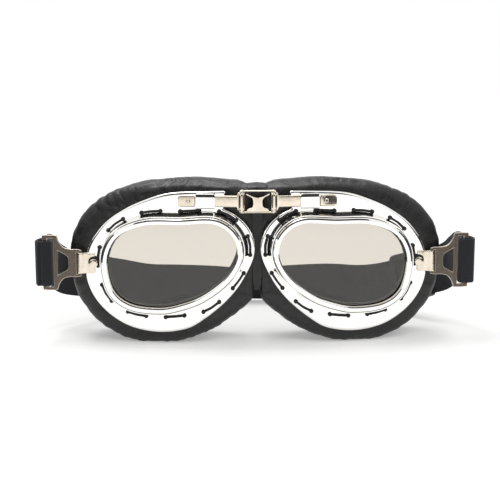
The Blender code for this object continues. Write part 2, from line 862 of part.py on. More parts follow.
def strap_line():
    """The right half of the strap's centre line, from the clip's loop to the back, and its lean."""
    tail = (loop_shares[0][0] + loop_shares[-1][0]) / 2 * loop_width
    along = frame_temple + side_axis + slot_middle + tail
    start_x = hinge_offset + along * math.cos(wrap_angle) - loop_depth * math.sin(wrap_angle)
    start_y = along * math.sin(wrap_angle) + loop_depth * math.cos(wrap_angle)
    drop = side_height - strap_width / 2 - strap_lift
    shares = np.asarray(strap_shares)
    points = shares * (start_x, strap_reach - start_y, drop) + (0.0, start_y, strap_lift)
    straight_end = slack_point_count + straight_point_count
    lean = strap_lean * np.clip(1 - shares[:, 0] / shares[straight_end, 0], 0, 1)
    points[:, 2] += strap_width / 2 * np.cos(lean)
    return points, lean


def strap_frames():
    """The right half's centre line in fine steps, with its upward and outward directions."""
    points, lean = strap_line()
    last = (len(points) - 1) * strap_step_count + 1
    across = np.vstack([points, points[-2:-3:-1] * (-1, 1, 1)])
    curve = smooth_curve(across, closed=False, steps=strap_step_count)[:last + 1]
    along = np.gradient(curve, axis=0)[:last]
    curve = curve[:last]
    tilt = np.interp(np.arange(last) / strap_step_count, np.arange(len(points)), lean)
    along /= np.linalg.norm(along, axis=1, keepdims=True)
    flat = np.stack([along[:, 1], -along[:, 0], np.zeros(len(along))], 1)
    flat /= np.linalg.norm(flat, axis=1, keepdims=True)
    square = np.cross(flat, along)
    cosine, sine = np.cos(tilt)[:, None], np.sin(tilt)[:, None]
    ups = square * cosine - flat * sine
    normals = flat * cosine + square * sine
    return curve, along, ups, normals


def make_strap(parent, elastic):
    """The strap's long run behind, and the short stretch at each end that gives with the cups."""
    curve, along, ups, normals = strap_frames()
    meet = side_point_count * strap_step_count
    flip = np.array((-1, 1, 1))
    back = [
        np.vstack([each[meet:], each[meet:-1][::-1] * flip]) for each in (curve, ups, normals)
    ]
    add_object("strap_back", band("strap_back", *back), elastic, parent)
    centres = curve[:meet + 1].copy()
    centres[0] += along[0] * clearance
    centres[-1] -= along[meet] * clearance
    for side in (-1, 1):
        name = "strap_side_" + side_word(side)
        flip = np.array((side, 1, 1))
        stretch = (centres * flip, ups[:meet + 1] * flip, normals[:meet + 1] * flip)
        add_object(name, band(name, *stretch), elastic, parent)


def make_slider(parent, black):
    """The three-bar slider, square to the strap's straight run on the right."""
    points, _ = strap_line()
    start = points[slack_point_count]
    end = points[slack_point_count + straight_point_count]
    along = Vector(end - start).normalized()
    flat = Vector((along.y, -along.x, 0.0)).normalized()
    up = along.cross(flat)
    if up.z < 0:
        up = -up
    axis = add_empty("slider_axis", (start + end) / 2, parent=parent)
    axis.rotation_euler = Matrix((along, up, flat)).transposed().to_euler()

    inside = strap_thickness / 2 + clearance
    outside = inside + slider_wall
    passage = strap_width / 2 + strap_play
    length, height = slider_length / 2, slider_height / 2
    corner = slider_corner
    outline = []
    for k, (x, y) in enumerate(((1, 1), (-1, 1), (-1, -1), (1, -1))):
        middle_x, middle_y = x * (length - corner), y * (height - corner)
        for step in range(3):
            turn_angle = math.pi / 2 * (k + step / 2)
            outline.append(
                (middle_x + corner * math.cos(turn_angle), middle_y + corner * math.sin(turn_angle))
            )
    name = "strap_slider"
    slider = add_object(name, prism(name, outline, as_given, -outside, outside), black, axis)

    def cut(label, low, high, near, far):
        corners = [(low, -passage), (high, -passage), (high, passage), (low, passage)]
        cutter = prism(label, corners, as_given, near, far)
        combine(slider, add_object(label, cutter, black, axis), "DIFFERENCE")

    cut("slider_window", slider_bar - length, length - slider_bar, 0.0, outside + overrun)
    cut("slider_passage", -length - overrun, length + overrun, -inside, inside)
    bar = slider_bar / 2
    cut("slider_near_slot", bar, length + overrun, -outside - overrun, 0.0)
    cut("slider_far_slot", -length - overrun, -bar, -outside - overrun, 0.0)


def make_gusset(parent, leather):
    """The soft leather wedge between the two cushions, over the nose."""
    points = []
    for depth_share, height_share in gusset_shares:
        depth = cushion_front + depth_share * gusset_depth
        limit = nose_limit(depth)
        across = hinge_offset + limit * math.cos(wrap_angle) - depth * math.sin(wrap_angle)
        place = limit * math.sin(wrap_angle) + depth * math.cos(wrap_angle)
        half = across - clearance
        height = gusset_low + height_share * (gusset_high - gusset_low)
        points += [(-half, place, height), (half, place, height)]
    count = len(gusset_shares)
    faces = []
    for i in range(count):
        j = (i + 1) % count
        faces.append((2 * i, 2 * i + 1, 2 * j + 1, 2 * j))
    faces.append(tuple(2 * i for i in range(count)))
    faces.append(tuple(2 * i + 1 for i in range(count)))
    add_object("nose_gusset", mesh_from("nose_gusset", points, faces), leather, parent)


def depth_middle():
    """The middle of the depth that the finished pieces span."""
    bpy.context.view_layer.update()
    depths = [
        (thing.matrix_world @ point.co).y
        for thing in bpy.context.scene.objects
        if thing.type == "MESH" and not thing.hide_render
        for point in thing.data.vertices
    ]
    return (min(depths) + max(depths)) / 2


def main():
    """Builds the whole pair, piece by piece."""
    clear_scene()
    chrome = finish("chrome_plating", (0.90, 0.90, 0.90), 0.06, 1.0)
    nickel = finish("nickel_plating", (0.80, 0.74, 0.66), 0.15, 1.0)
    antique = finish("antique_nickel", (0.30, 0.25, 0.20), 0.30, 1.0)
    clear = finish("clear_lens", (0.85, 0.82, 0.78), 0.05, 0.0)
    black = finish("black_plastic", (0.02, 0.02, 0.02), 0.40, 0.0)
    rubber = finish("black_rubber", (0.02, 0.02, 0.02), 0.70, 0.0)
    leather = finish("black_leather", (0.03, 0.03, 0.03), 0.55, 0.0)
    velvet = finish("black_velvet", (0.02, 0.02, 0.02), 0.95, 0.0)
    cord = finish("black_cord", (0.02, 0.02, 0.02), 0.80, 0.0)
    elastic = finish("black_elastic", (0.02, 0.02, 0.025), 0.85, 0.0)

    pair = add_empty("pair", (0.0, 0.0, 0.0))
    for side in (-1, 1):
        word = side_word(side)
        place = (side * hinge_offset, 0.0, 0.0)
        hinge = add_empty("hinge_axis_" + word, place, side * wrap_angle, pair)
        make_shell(side, hinge, chrome)
        make_lens_stack(side, hinge, chrome, clear, black, rubber)
        make_cushion(side, hinge, leather, velvet)
        make_lace(side, hinge, cord)
        make_bridge_tab(side, hinge, nickel)
        make_side_tab(side, hinge, nickel)
        place = (side * (frame_temple + side_axis), 0.0, side_height)
        clip_axis = add_empty("clip_axis_" + word, place, parent=hinge)
        make_clip(side, clip_axis, antique)
        make_strap_loop(side, clip_axis, elastic)
    make_bridge_link(pair, nickel)
    make_gusset(pair, leather)
    make_strap(pair, elastic)
    make_slider(pair, black)
    pair.location.y = -depth_middle()


main()
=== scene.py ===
"""The looks of a pair of vintage riding goggles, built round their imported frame.

The sections follow the goggles as they are put together. Sizes are in millimetres until a mesh
is made. A cup's pieces are laid out square on, along the cup, in depth and in height, and then
turned back by the wrap angle.
"""

import math

import bmesh
import bpy
import numpy as np
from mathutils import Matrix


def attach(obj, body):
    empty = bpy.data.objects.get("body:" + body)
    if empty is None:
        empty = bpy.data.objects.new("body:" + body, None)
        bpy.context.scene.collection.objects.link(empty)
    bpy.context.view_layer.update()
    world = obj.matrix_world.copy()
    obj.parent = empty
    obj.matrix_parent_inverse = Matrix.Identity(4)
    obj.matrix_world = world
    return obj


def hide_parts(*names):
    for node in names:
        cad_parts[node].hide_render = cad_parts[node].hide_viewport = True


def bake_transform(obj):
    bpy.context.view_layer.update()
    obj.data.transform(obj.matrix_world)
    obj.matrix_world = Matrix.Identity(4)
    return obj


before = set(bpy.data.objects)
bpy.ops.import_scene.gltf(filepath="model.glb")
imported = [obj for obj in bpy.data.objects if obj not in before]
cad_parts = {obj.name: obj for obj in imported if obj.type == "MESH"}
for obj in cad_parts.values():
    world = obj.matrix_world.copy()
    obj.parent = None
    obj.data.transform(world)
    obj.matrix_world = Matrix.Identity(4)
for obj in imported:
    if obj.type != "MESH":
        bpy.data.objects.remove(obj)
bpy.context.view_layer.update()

# ---------------------------------------------------------------------------------------------
# The studio: a white sweep under soft light, seen from the front, a little from the left and
# ten degrees above. Black cards stand behind the camera and at both sides, as they do round
# plated goods, and show only as the dark lines in the plating.

mm = 0.001
view_height = 52.2
view_side = -4.06
view_distance = 600.0
view_angle = math.radians(10)
view_turn = math.radians(-2.2)
focal_share = 1152 / 500
sensor_width = 36.0
hinge_depth = -54.575
floor_half = 3000.0
ambient_level = 0.42
floor_glow = (0.30, 0.66)
glow_reach = (220.0, 900.0)
front_card = (-420.0, 420.0, -780.0, 75.0, 720.0)
side_card = (270.0, -420.0, 60.0, 0.0, 110.0)
lamp_rows = (
    ("lamp_top", (-100.0, 60.0, 640.0), 440.0, 2.0, True),
    ("lamp_front", (240.0, -640.0, 640.0), 560.0, 2.4, False),
)


def linear(colour):
    """An sRGB hex colour as linear values, with an alpha of one: a channel up to 0.04045 is
    divided by 12.92, and the others are raised to the power 2.4."""
    values = np.array([int(colour[k:k + 2], 16) / 255 for k in (0, 2, 4)])
    low, high = values / 12.92, ((values + 0.055) / 1.055) ** 2.4
    return (*np.where(values <= 0.04045, low, high), 1.0)


def main_output(source):
    """A socket itself, or a node's main output, which is the third on a colour mix."""
    if isinstance(source, bpy.types.NodeSocket):
        return source
    return source.outputs[2 if source.bl_idname == "ShaderNodeMix" else 0]


def node(tree, kind, settings=(), links=(), into=""):
    """Adds a node: small-letter settings are its properties, the others its sockets. It can
    feed a socket of the shader."""
    made = tree.nodes.new("ShaderNode" + kind)
    for name, value in dict(settings).items():
        if isinstance(name, str) and name[0].islower():
            setattr(made, name, value)
        else:
            made.inputs[name].default_value = value
    for name, source in dict(links).items():
        tree.links.new(main_output(source), made.inputs[name])
    if into:
        tree.links.new(main_output(made), tree.nodes["Principled BSDF"].inputs[into])
    return made


def surface(name, values=()):
    """A new material with values for its shader's sockets, and its node tree."""
    made = bpy.data.materials.new(name)
    made.use_nodes = True
    for socket, value in dict(values).items():
        made.node_tree.nodes["Principled BSDF"].inputs[socket].default_value = value
    return made, made.node_tree


def shown_rays(tree):
    """A value of one for rays of the camera, of a reflection and through glass."""
    rays = node(tree, "LightPath").outputs
    total = rays["Is Camera Ray"]
    for name in ("Is Glossy Ray", "Is Transmission Ray"):
        total = node(tree, "Math", {"operation": "MAXIMUM"}, {0: total, 1: rays[name]})
    return total


def put(name, data):
    """Adds an object to the scene."""
    thing = bpy.data.objects.new(name, data)
    bpy.context.scene.collection.objects.link(thing)
    return thing


world = bpy.data.worlds.new("white_room")
world.use_nodes = True
sky = world.node_tree.nodes["Background"].inputs
ambient = node(world.node_tree, "MapRange", {3: ambient_level},
               {0: shown_rays(world.node_tree)})
world.node_tree.links.new(ambient.outputs[0], sky["Strength"])
sky["Color"].default_value = linear("FFFFFF")
bpy.context.scene.world = world
bpy.context.scene.view_settings.view_transform = "Standard"

# Each lamp is a disc that faces the middle of the goggles. Its row gives its name, place,
# width and energy, and says whether reflections show it.
for name, place, width, energy, mirrored_too in lamp_rows:
    light = bpy.data.lights.new(name, "AREA")
    light.shape = "DISK"
    light.size = width * mm
    light.energy = energy
    lamp = put(name, light)
    lamp.location = np.array(place) * mm
    aim = np.array((0.0, 0.0, view_height)) - place
    lamp.rotation_euler = (
        math.atan2(math.hypot(aim[0], aim[1]), -aim[2]), 0.0, math.atan2(aim[0], -aim[1]) + math.pi
    )
    lamp.visible_glossy = mirrored_too
    lamp.visible_transmission = False

eye = bpy.data.cameras.new("camera")
eye.sensor_width = sensor_width
eye.lens = focal_share * sensor_width
camera = put("camera", eye)
away = view_distance * math.cos(view_angle)
camera.location = (
    (view_side + away * math.sin(view_turn)) * mm,
    (hinge_depth - away * math.cos(view_turn)) * mm,
    (view_height + view_distance * math.sin(view_angle)) * mm,
)
camera.rotation_euler = (math.pi / 2 - view_angle, 0.0, view_turn)
bpy.context.scene.camera = camera


def stage_sheet(name, material, corners):
    """One flat face through its corners, which is part of the studio."""
    mesh = bpy.data.meshes.new(name)
    mesh.from_pydata((np.array(corners) * mm).tolist(), [], [(0, 1, 2, 3)])
    mesh.materials.append(material)
    thing = put(name, mesh)
    return thing


paper, tree = surface("studio_paper", {
    "Base Color": linear("F2F2F1"), "Roughness": 1.0, "Specular IOR Level": 0.0,
    "Emission Color": linear("FFFFFF"),
})
reach = node(tree, "VectorMath", {"operation": "LENGTH"},
             {0: node(tree, "TexCoord").outputs["Object"]})
spread = node(
    tree, "MapRange",
    {1: glow_reach[0] * mm, 2: glow_reach[1] * mm, 3: floor_glow[0], 4: floor_glow[1]},
    {0: reach.outputs["Value"]},
)
node(tree, "Math", {"operation": "MULTIPLY"}, {0: shown_rays(tree), 1: spread},
     "Emission Strength")
stage_sheet("floor", paper, [
    (-floor_half, -floor_half, 0), (floor_half, -floor_half, 0),
    (floor_half, floor_half, 0), (-floor_half, floor_half, 0),
])

board, _ = surface("black_card", {"Base Color": linear("0C0C0C")})
left, right, depth, low, high = front_card
cards = [stage_sheet("front_card", board, [
    (left, depth, low), (right, depth, low), (right, depth, high), (left, depth, high),
])]
aside, near, far, low, high = side_card
for side in (-1, 1):
    cards.append(stage_sheet("side_card", board, [
        (side * aside, near, low), (side * aside, far, low),
        (side * aside, far, high), (side * aside, near, high),
    ]))
for card in cards:
    for ray in ("camera", "diffuse", "shadow", "transmission"):
        setattr(card, "visible_" + ray, False)

# ---------------------------------------------------------------------------------------------
# Frame shells: ABS mouldings, chrome plated all over. A wall stands round the lens, and a broad
# flange with a turned edge is punched with 22 holes for the lace.

wrap_angle = math.radians(7)
hinge_offset = 8.4
columns = 400
curve_steps = 64
lens_width = 69.0
lens_height = 44.8
lens_nose = 1.0902
lens_low = 21.6
lens_middle = lens_low + lens_height / 2
frame_nose = -6.9098
frame_low = 7.0
frame_width = 90.2
frame_tall = 75.9
frame_temple = frame_nose + frame_width
cup_centre = np.array((lens_nose + lens_width / 2, lens_middle))
lens_shares = (
    (0.18, 1.00), (0.44, 0.99), (0.70, 0.98), (0.89, 0.87), (0.98, 0.69), (1.00, 0.47),
    (0.95, 0.19), (0.82, 0.04), (0.62, 0.00), (0.47, 0.035), (0.28, 0.15), (0.10, 0.37),
    (0.01, 0.62), (0.04, 0.85),
)
flange_shares = (
    (0.172, 1.00), (0.30, 0.996), (0.44, 0.99), (0.54, 0.973), (0.65, 0.93), (0.755, 0.873),
    (0.865, 0.785), (0.94, 0.682), (0.985, 0.58), (1.00, 0.46), (0.983, 0.33), (0.93, 0.21),
    (0.84, 0.105), (0.72, 0.03), (0.56, 0.00), (0.40, 0.028), (0.29, 0.105), (0.18, 0.215),
    (0.10, 0.325), (0.045, 0.435), (0.008, 0.54), (0.003, 0.64), (0.035, 0.745),
    (0.10, 0.825), (0.18, 0.876),
)
wall_inset = 3.3
wall_lip = 0.55
wall_draft = 0.6
wall_lean = 0.95
lean_bearing = math.radians(105)
wall_front = -5.6
flange_front = 0.8
flange_back = 2.6
skirt_back = 4.3
skirt_wall = 1.3
edge_roll = 1.3
ledge_inset = 1.2
ledge_front = -0.3
hole_inset = 6.1
hole_swell = 2.6
swell_bearing = math.radians(232)
swell_power = 6
lace_start = math.radians(5)
dash_count = 11
line_step = 8
line_count = 1600
hole_radius = 1.05
hole_punch = (-0.6, flange_back + 0.9)
hole_sides = 24
turn_limit = 0.46
guard_share = 0.03
corner_angle = math.radians(35)
sides = ((-1, "left"), (1, "right"))


def unit(vectors):
    """Vectors over their own lengths."""
    return vectors / np.linalg.norm(vectors, axis=-1, keepdims=True)


def circle(count):
    """The angles of points evenly round a circle."""
    return np.arange(count) * 2 * math.pi / count


def smooth_curve(points, closed, steps=curve_steps):
    """Catmull-Rom: each stretch is the cubic whose slope at a point is half of the step
    between that point's two neighbours."""
    points = np.asarray(points, float)
    if closed:
        padded = np.concatenate([points[-1:], points, points[:2]])
    else:
        first, last = 2 * points[:1] - points[1:2], 2 * points[-1:] - points[-2:-1]
        padded = np.concatenate([first, points, last])
    before, start, end, after = (padded[k:len(padded) - 3 + k][:, None] for k in range(4))
    t = (np.arange(steps) / steps).reshape(1, -1, *[1] * (points.ndim - 1))
    curve = 0.5 * (
        2 * start
        + (end - before) * t
        + (2 * before - 5 * start + 4 * end - after) * t**2
        + (3 * start - before - 3 * end + after) * t**3
    )
    curve = curve.reshape(-1, *points.shape[1:])
    return curve if closed else np.concatenate([curve, points[-1:]])


def placed(shares, corner, width, height):
    """Shares of a width and a height, as points from the corner."""
    return np.asarray(shares) * (width, height) + corner


def at_bearings(points, angles):
    """The outline's points in the given directions: the distance from the cup's centre is read
    off between the two nearest points."""
    apart = points - cup_centre
    found = np.arctan2(apart[:, 1], apart[:, 0]) % (2 * math.pi)
    order = np.argsort(found)
    reach = np.hypot(apart[:, 0], apart[:, 1])[order]
    radius = np.interp(angles, found[order], reach, period=2 * math.pi)
    return cup_centre + np.stack([radius * np.cos(angles), radius * np.sin(angles)], 1)


def closed_by_line(points):
    """A smooth curve through the points, closed by a straight edge from its end to its start."""
    curve = smooth_curve(points, closed=False)
    share = np.linspace(0, 1, curve_steps)[1:-1, None]
    return np.vstack([curve, curve[-1] * (1 - share) + curve[0] * share])


def outward(points):
    """The outward direction at each point of an outline: square to the step between the
    point's neighbours."""
    along = np.roll(points, -1, 0) - np.roll(points, 1, 0)
    return unit(np.stack([along[:, 1], -along[:, 0]], 1))


angles = circle(columns)
lens_edge = at_bearings(
    smooth_curve(placed(lens_shares, (lens_nose, lens_low), lens_width, lens_height), True), angles
)
lens_normal = outward(lens_edge)
flange_edge = at_bearings(
    closed_by_line(placed(flange_shares, (frame_nose, frame_low), frame_width, frame_tall)), angles
)


def round_lens(distance):
    """The lens opening's outline moved outwards."""
    return lens_edge + distance * lens_normal


def within(points, distance):
    """An outline drawn in towards the cup's centre by a distance."""
    apart = points - cup_centre
    reach = np.linalg.norm(apart, axis=1, keepdims=True)
    return cup_centre + apart * (reach - distance) / reach


def ring(outline, depth):
    """An outline as a row of places: along the cup, depth and height."""
    outline = np.asarray(outline, float)
    return np.stack([outline[:, 0], np.full(len(outline), float(depth)), outline[:, 1]], 1)


def rounded(rows, radii, steps=5):
    """A closed run of rows with its corners turned: from a radius before each corner to a
    radius after it, a quadratic curve with the corner as its control point. A row just outside
    either end keeps the flats flat. With an endless radius the curves meet half way between
    the corners, and each leaves its last point out."""
    rows = np.asarray(rows, float)
    done = []
    for k, radius in enumerate(np.broadcast_to(radii, len(rows))):
        corner = rows[k]
        if radius == 0:
            done.append(corner)
            continue
        ends, guards = [], []
        endless = radius == math.inf
        for other in (rows[k - 1], rows[(k + 1) % len(rows)]):
            step = other - corner
            length = np.linalg.norm(step, axis=-1, keepdims=True)
            share = np.minimum(radius / np.maximum(length, 1e-6), 0.5 if endless else turn_limit)
            ends.append(corner + step * share)
            guards.append(corner + step * (share + guard_share))
        curve = [
            (1 - t) ** 2 * ends[0] + 2 * t * (1 - t) * corner + t**2 * ends[1]
            for t in np.linspace(0, 1, steps, endpoint=not endless)
        ]
        done += curve if endless else [guards[0], *curve, guards[1]]
    return np.array(done)


def ring_rows(table):
    """Outlines with their depths and corner radii, as rows with rounded corners."""
    return rounded([ring(outline, depth) for outline, depth, _ in table],
                   [radius for _, _, radius in table])


def on_cup(side, places):
    """Cup places in the shared frame, in metres: turned about the bridge hinge by the wrap
    angle, and mirrored for the left cup."""
    along, depth, height = places[..., 0], places[..., 1], places[..., 2]
    x = side * (hinge_offset + along * math.cos(wrap_angle) - depth * math.sin(wrap_angle))
    y = hinge_depth + along * math.sin(wrap_angle) + depth * math.cos(wrap_angle)
    return np.stack([x, y, height], -1) * mm


def tidy(mesh):
    """Merges points that fall together, turns the faces outwards and shades all but sharp
    corners smooth."""
    work = bmesh.new()
    work.from_mesh(mesh)
    bmesh.ops.remove_doubles(work, verts=work.verts, dist=1e-7)
    bmesh.ops.recalc_face_normals(work, faces=work.faces)
    work.to_mesh(mesh)
    work.free()
    mesh.shade_smooth()
    mesh.set_sharp_from_angle(angle=corner_angle)
    return mesh


def skin(points, loop=False, layout=None, marks=None):
    """A surface over a grid, rows by columns: each point is joined to the next one along its
    closed row and its column, which loop closes too. An open end is closed by one face. layout
    gives each corner of the grid a place on the cloth, and marks give each point a value for
    its material."""
    rows, wide = points.shape[:2]
    index = np.arange(rows * wide).reshape(rows, wide)
    index = np.hstack([index, index[:, :1]])
    if loop:
        index = np.vstack([index, index[:1]])
    faces = np.stack([index[:-1, :-1], index[:-1, 1:], index[1:, 1:], index[1:, :-1]], -1)
    faces = faces.reshape(-1, 4).tolist()
    if not loop:
        faces += [index[0, :-1].tolist(), index[-1, :-1].tolist()]
    mesh = bpy.data.meshes.new("skin")
    mesh.from_pydata(points.reshape(-1, 3).tolist(), [], faces)
    if marks is not None:
        mesh.attributes.new("marks", "FLOAT", "POINT").data.foreach_set("value", marks.ravel())
    if layout is not None:
        corners = [layout[:-1, :-1], layout[:-1, 1:], layout[1:, 1:], layout[1:, :-1]]
        corners = np.stack(corners, 2).reshape(-1, 2)
        values = np.zeros((len(mesh.loops), 2))
        values[:len(corners)] = corners
        mesh.uv_layers.new(name="cloth").data.foreach_set("uv", values.ravel())
    return tidy(mesh)


def add_piece(name, mesh, material, body, nodes=""):
    """Puts a mesh into the scene with its material, attaches it to its body and hides the node it
    stands for. A piece without a body is left unattached."""
    mesh.name = name
    mesh.materials.clear()
    mesh.materials.append(material)
    thing = put(name, mesh)
    if body:
        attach(thing, body)
    if nodes:
        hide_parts(nodes)
    return thing


def both(name, make, material, body, nodes=""):
    """A piece on each side, from a function of the side. A star in its names stands for the
    side's word, as the picture shows it."""
    return [
        add_piece(name.replace("*", word), make(side), material, body.replace("*", word),
                  nodes.replace("*", word))
        for side, word in sides
    ]


def shown_mesh(thing):
    """The object's mesh as its modifiers leave it."""
    found = thing.evaluated_get(bpy.context.evaluated_depsgraph_get())
    return bpy.data.meshes.new_from_object(found)


def carved(mesh, tools):
    """The mesh with the tools cut from it."""
    things = [put("blank", part) for part in (mesh, *tools)]
    for tool in things[1:]:
        modifier = things[0].modifiers.new("carve", "BOOLEAN")
        modifier.operation = "DIFFERENCE"
        modifier.solver = "EXACT"
        modifier.object = tool
    result = shown_mesh(things[0])
    for thing in things:
        bpy.data.objects.remove(thing, do_unlink=True)
    return tidy(result)


def drums(side, centres):
    """Round pegs through the flange: two circles round each centre, joined and closed."""
    turn = circle(hole_sides)
    rims = centres[:, None] + (np.stack([np.cos(turn), np.sin(turn)], 1) * hole_radius)[None]
    places = np.stack([
        np.stack([rims[..., 0], np.full(rims.shape[:2], depth), rims[..., 1]], -1)
        for depth in hole_punch
    ], 1)
    index = np.arange(places[..., 0].size).reshape(places.shape[:3])
    near, far = index[:, 0], index[:, 1]
    walls = np.stack([near, np.roll(near, -1, 1), np.roll(far, -1, 1), far], -1).reshape(-1, 4)
    mesh = bpy.data.meshes.new("drums")
    points = on_cup(side, places).reshape(-1, 3)
    mesh.from_pydata(points.tolist(), [], walls.tolist() + near.tolist() + far.tolist())
    return tidy(mesh)


def patterned(tree, shades, pattern, relief, gloss=()):
    """What most finishes share: a pattern mixes two shades and moves the roughness from one
    value to another, and a height with its strength and its depth in metres makes the relief."""
    height, strength, depth = relief
    node(tree, "Bump", {"Strength": strength, "Distance": depth}, {"Height": height}, "Normal")
    if gloss:
        node(tree, "MapRange", {3: gloss[0], 4: gloss[1]}, {0: pattern}, "Roughness")
    return node(tree, "Mix", {"data_type": "RGBA", 6: linear(shades[0]), 7: linear(shades[1])},
                {"Factor": pattern}, "Base Color")


# Chrome plate on smooth moulded ABS: a mirror, a little warm, with the moulding's faint waves
# (about 6 mm long) and fine rubbing marks that dull it here and there.
chrome, tree = surface("chrome_plated_abs", {"Metallic": 1.0})
place = node(tree, "TexCoord").outputs["Object"]
marks = node(tree, "TexNoise", {"Scale": 240.0, "Detail": 3.0}, {"Vector": place})
waves = node(tree, "TexNoise", {"Scale": 160.0, "Detail": 1.0}, {"Vector": place})
tint = node(tree, "MapRange", {1: 0.35, 2: 0.75}, {0: marks})
patterned(tree, ("FBFAF8", "F4F2EC"), tint, (waves, 0.04, 0.0003))
node(tree, "MapRange", {1: 0.3, 2: 0.8, 3: 0.03, 4: 0.09}, {0: marks}, "Roughness")


def run_of(points):
    """The distance from the first point, along the others, to each of them."""
    return np.concatenate([[0.0], np.cumsum(np.linalg.norm(np.diff(points, axis=0), axis=1))])


swell = hole_swell * np.maximum(np.cos(angles - swell_bearing), 0) ** swell_power
hole_line = at_bearings(
    smooth_curve((lens_edge + (hole_inset + swell[:, None]) * lens_normal)[::line_step], True),
    np.linspace(0, 2 * math.pi, line_count, endpoint=False) + lace_start,
)
hole_line = np.vstack([hole_line, hole_line[:1]])
hole_run = run_of(hole_line)


def on_hole_line(stations):
    """Places at distances along the line of the holes."""
    stations = stations % hole_run[-1]
    return np.stack([np.interp(stations, hole_run, hole_line[:, k]) for k in (0, 1)], 1)


lace_stations = (np.arange(4 * dash_count) - 1) * hole_run[-1] / (4 * dash_count)
lace_places = on_hole_line(lace_stations)

draft = wall_draft + wall_lean * np.maximum(np.cos(angles - lean_bearing), 0)[:, None]
shell_places = ring_rows((
    (round_lens(wall_inset), wall_front, 0.12),
    (round_lens(wall_inset + wall_lip), wall_front, 0.12),
    (round_lens(wall_inset + wall_lip + draft), flange_front, 0.14),
    (flange_edge, flange_front, edge_roll),
    (flange_edge, skirt_back, 0.30),
    (within(flange_edge, skirt_wall), skirt_back, 0.0),
    (within(flange_edge, skirt_wall), flange_back, 0.0),
    (round_lens(ledge_inset), flange_back, 0.0),
    (round_lens(ledge_inset), ledge_front, 0.0),
    (round_lens(wall_inset), ledge_front, 0.0),
))
both("frame_shell_*_plated", lambda side: carved(
    skin(on_cup(side, shell_places), loop=True), [drums(side, lace_places[::2])],
), chrome, "cup_*", "frame_shell_*")

# ---------------------------------------------------------------------------------------------
# Keepers: the moulded loop on each shell that its bridge tab slides through. It is plated with
# the shell.

tab_height = 77.6
tab_half = 3.0
tab_thickness = 1.0
fit_gap = 0.3
keeper_start = 13.9
keeper_end = 24.3
keeper_wall = 0.75
keeper_roof = 0.9
keeper_root = 0.6
keeper_slope = (1.7, 0.4)
keeper_turns = (0, 1.2, 0.3, 0.4, 0, 0, 0.3, 0.3, 0)
keeper_ease = (0.14, 0.42)
keeper_steps = 33

inner = tab_half + fit_gap
outer = inner + keeper_wall
roof = -(tab_thickness / 2 + fit_gap)
root = flange_front + keeper_root
arch = rounded(np.array([
    (-outer, root), (-outer, roof - keeper_roof), (outer - keeper_slope[0], roof - keeper_roof),
    (outer, roof - keeper_roof + keeper_slope[1]), (outer, root), (inner, root), (inner, roof),
    (-inner, roof), (-inner, root),
]), keeper_turns, steps=7)

# The arch is carried along, and its edge is turned by a quarter ellipse at either end.
keeper_rows = []
for share in np.linspace(0, 1, keeper_steps):
    ease = min(share, 1 - share, keeper_ease[0]) / keeper_ease[0]
    shrink = keeper_ease[1] * (1 - math.sqrt(1 - (1 - ease) ** 2))
    row = arch + unit(arch.mean(0) - arch) * shrink
    along = keeper_start + (keeper_end - keeper_start) * share
    keeper_rows.append(np.stack([np.full(len(row), along), row[:, 1], tab_height + row[:, 0]], 1))
both("keeper_*", lambda side: skin(on_cup(side, np.array(keeper_rows))), chrome, "cup_*")

# ---------------------------------------------------------------------------------------------
# Lens rims: chrome-plated ABS rings that snap into the wall. Each has a broad flat with a gentle
# slope to both sides of it, down to the lens and down to the wall.

rim_rows = (
    (0.00, -4.70, 0.0), (0.00, -6.80, 0.10), (0.55, -6.96, 0.12), (0.80, -7.00, 0.10),
    (1.75, -7.00, 0.10), (2.60, -6.80, 0.10), (2.95, -6.10, 0.10), (3.00, -4.70, 0.0),
)
rim_places = ring_rows([(round_lens(distance), *rest) for distance, *rest in rim_rows])
both("lens_rim_*_plated", lambda side: skin(on_cup(side, rim_places), loop=True), chrome,
     "cup_*", "lens_rim_*")

# ---------------------------------------------------------------------------------------------
# Gaskets and retaining rings: the black rubber that beds the lens, and the black plastic ring
# that holds it from behind. The solids' own shapes are right, so they get only a finish.

# Moulded EPDM rubber: dull and nearly black, with a talc-like bloom in patches of a millimetre.
# Moulded ABS: a satin black with a fine spark-eroded texture, about 0.4 mm, drawn at 0.8 mm.
def moulded(name, shades, grain_scale, rough, depth):
    """A moulded surface: noise mixes its two shades, varies its gloss and roughens it."""
    made, tree = surface(name)
    place = node(tree, "TexCoord").outputs["Object"]
    grain = node(tree, "TexNoise", {"Scale": grain_scale, "Detail": 4.0}, {"Vector": place})
    patterned(tree, shades, grain, (grain, 0.35, depth), (rough - 0.08, rough + 0.08))
    return made


rubber = moulded("moulded_rubber", ("161616", "262626"), 1000.0, 0.75, 0.0001)
abs_black = moulded("moulded_black_abs", ("141416", "1E1E20"), 1250.0, 0.42, 0.00006)
for name, material in (("lens_gasket_", rubber), ("retaining_ring_", abs_black)):
    for word in ("left", "right"):
        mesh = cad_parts[name + word].data
        mesh.materials.clear()
        mesh.materials.append(material)

# ---------------------------------------------------------------------------------------------
# Lenses: one sheet of clear acetate in each cup, domed a little towards the front and greyed
# by age. Its edge lies in the gasket.

lens_lap = 1.8
lens_front = -4.4
lens_back = -2.6
lens_dome = 0.8
lens_steps = 16

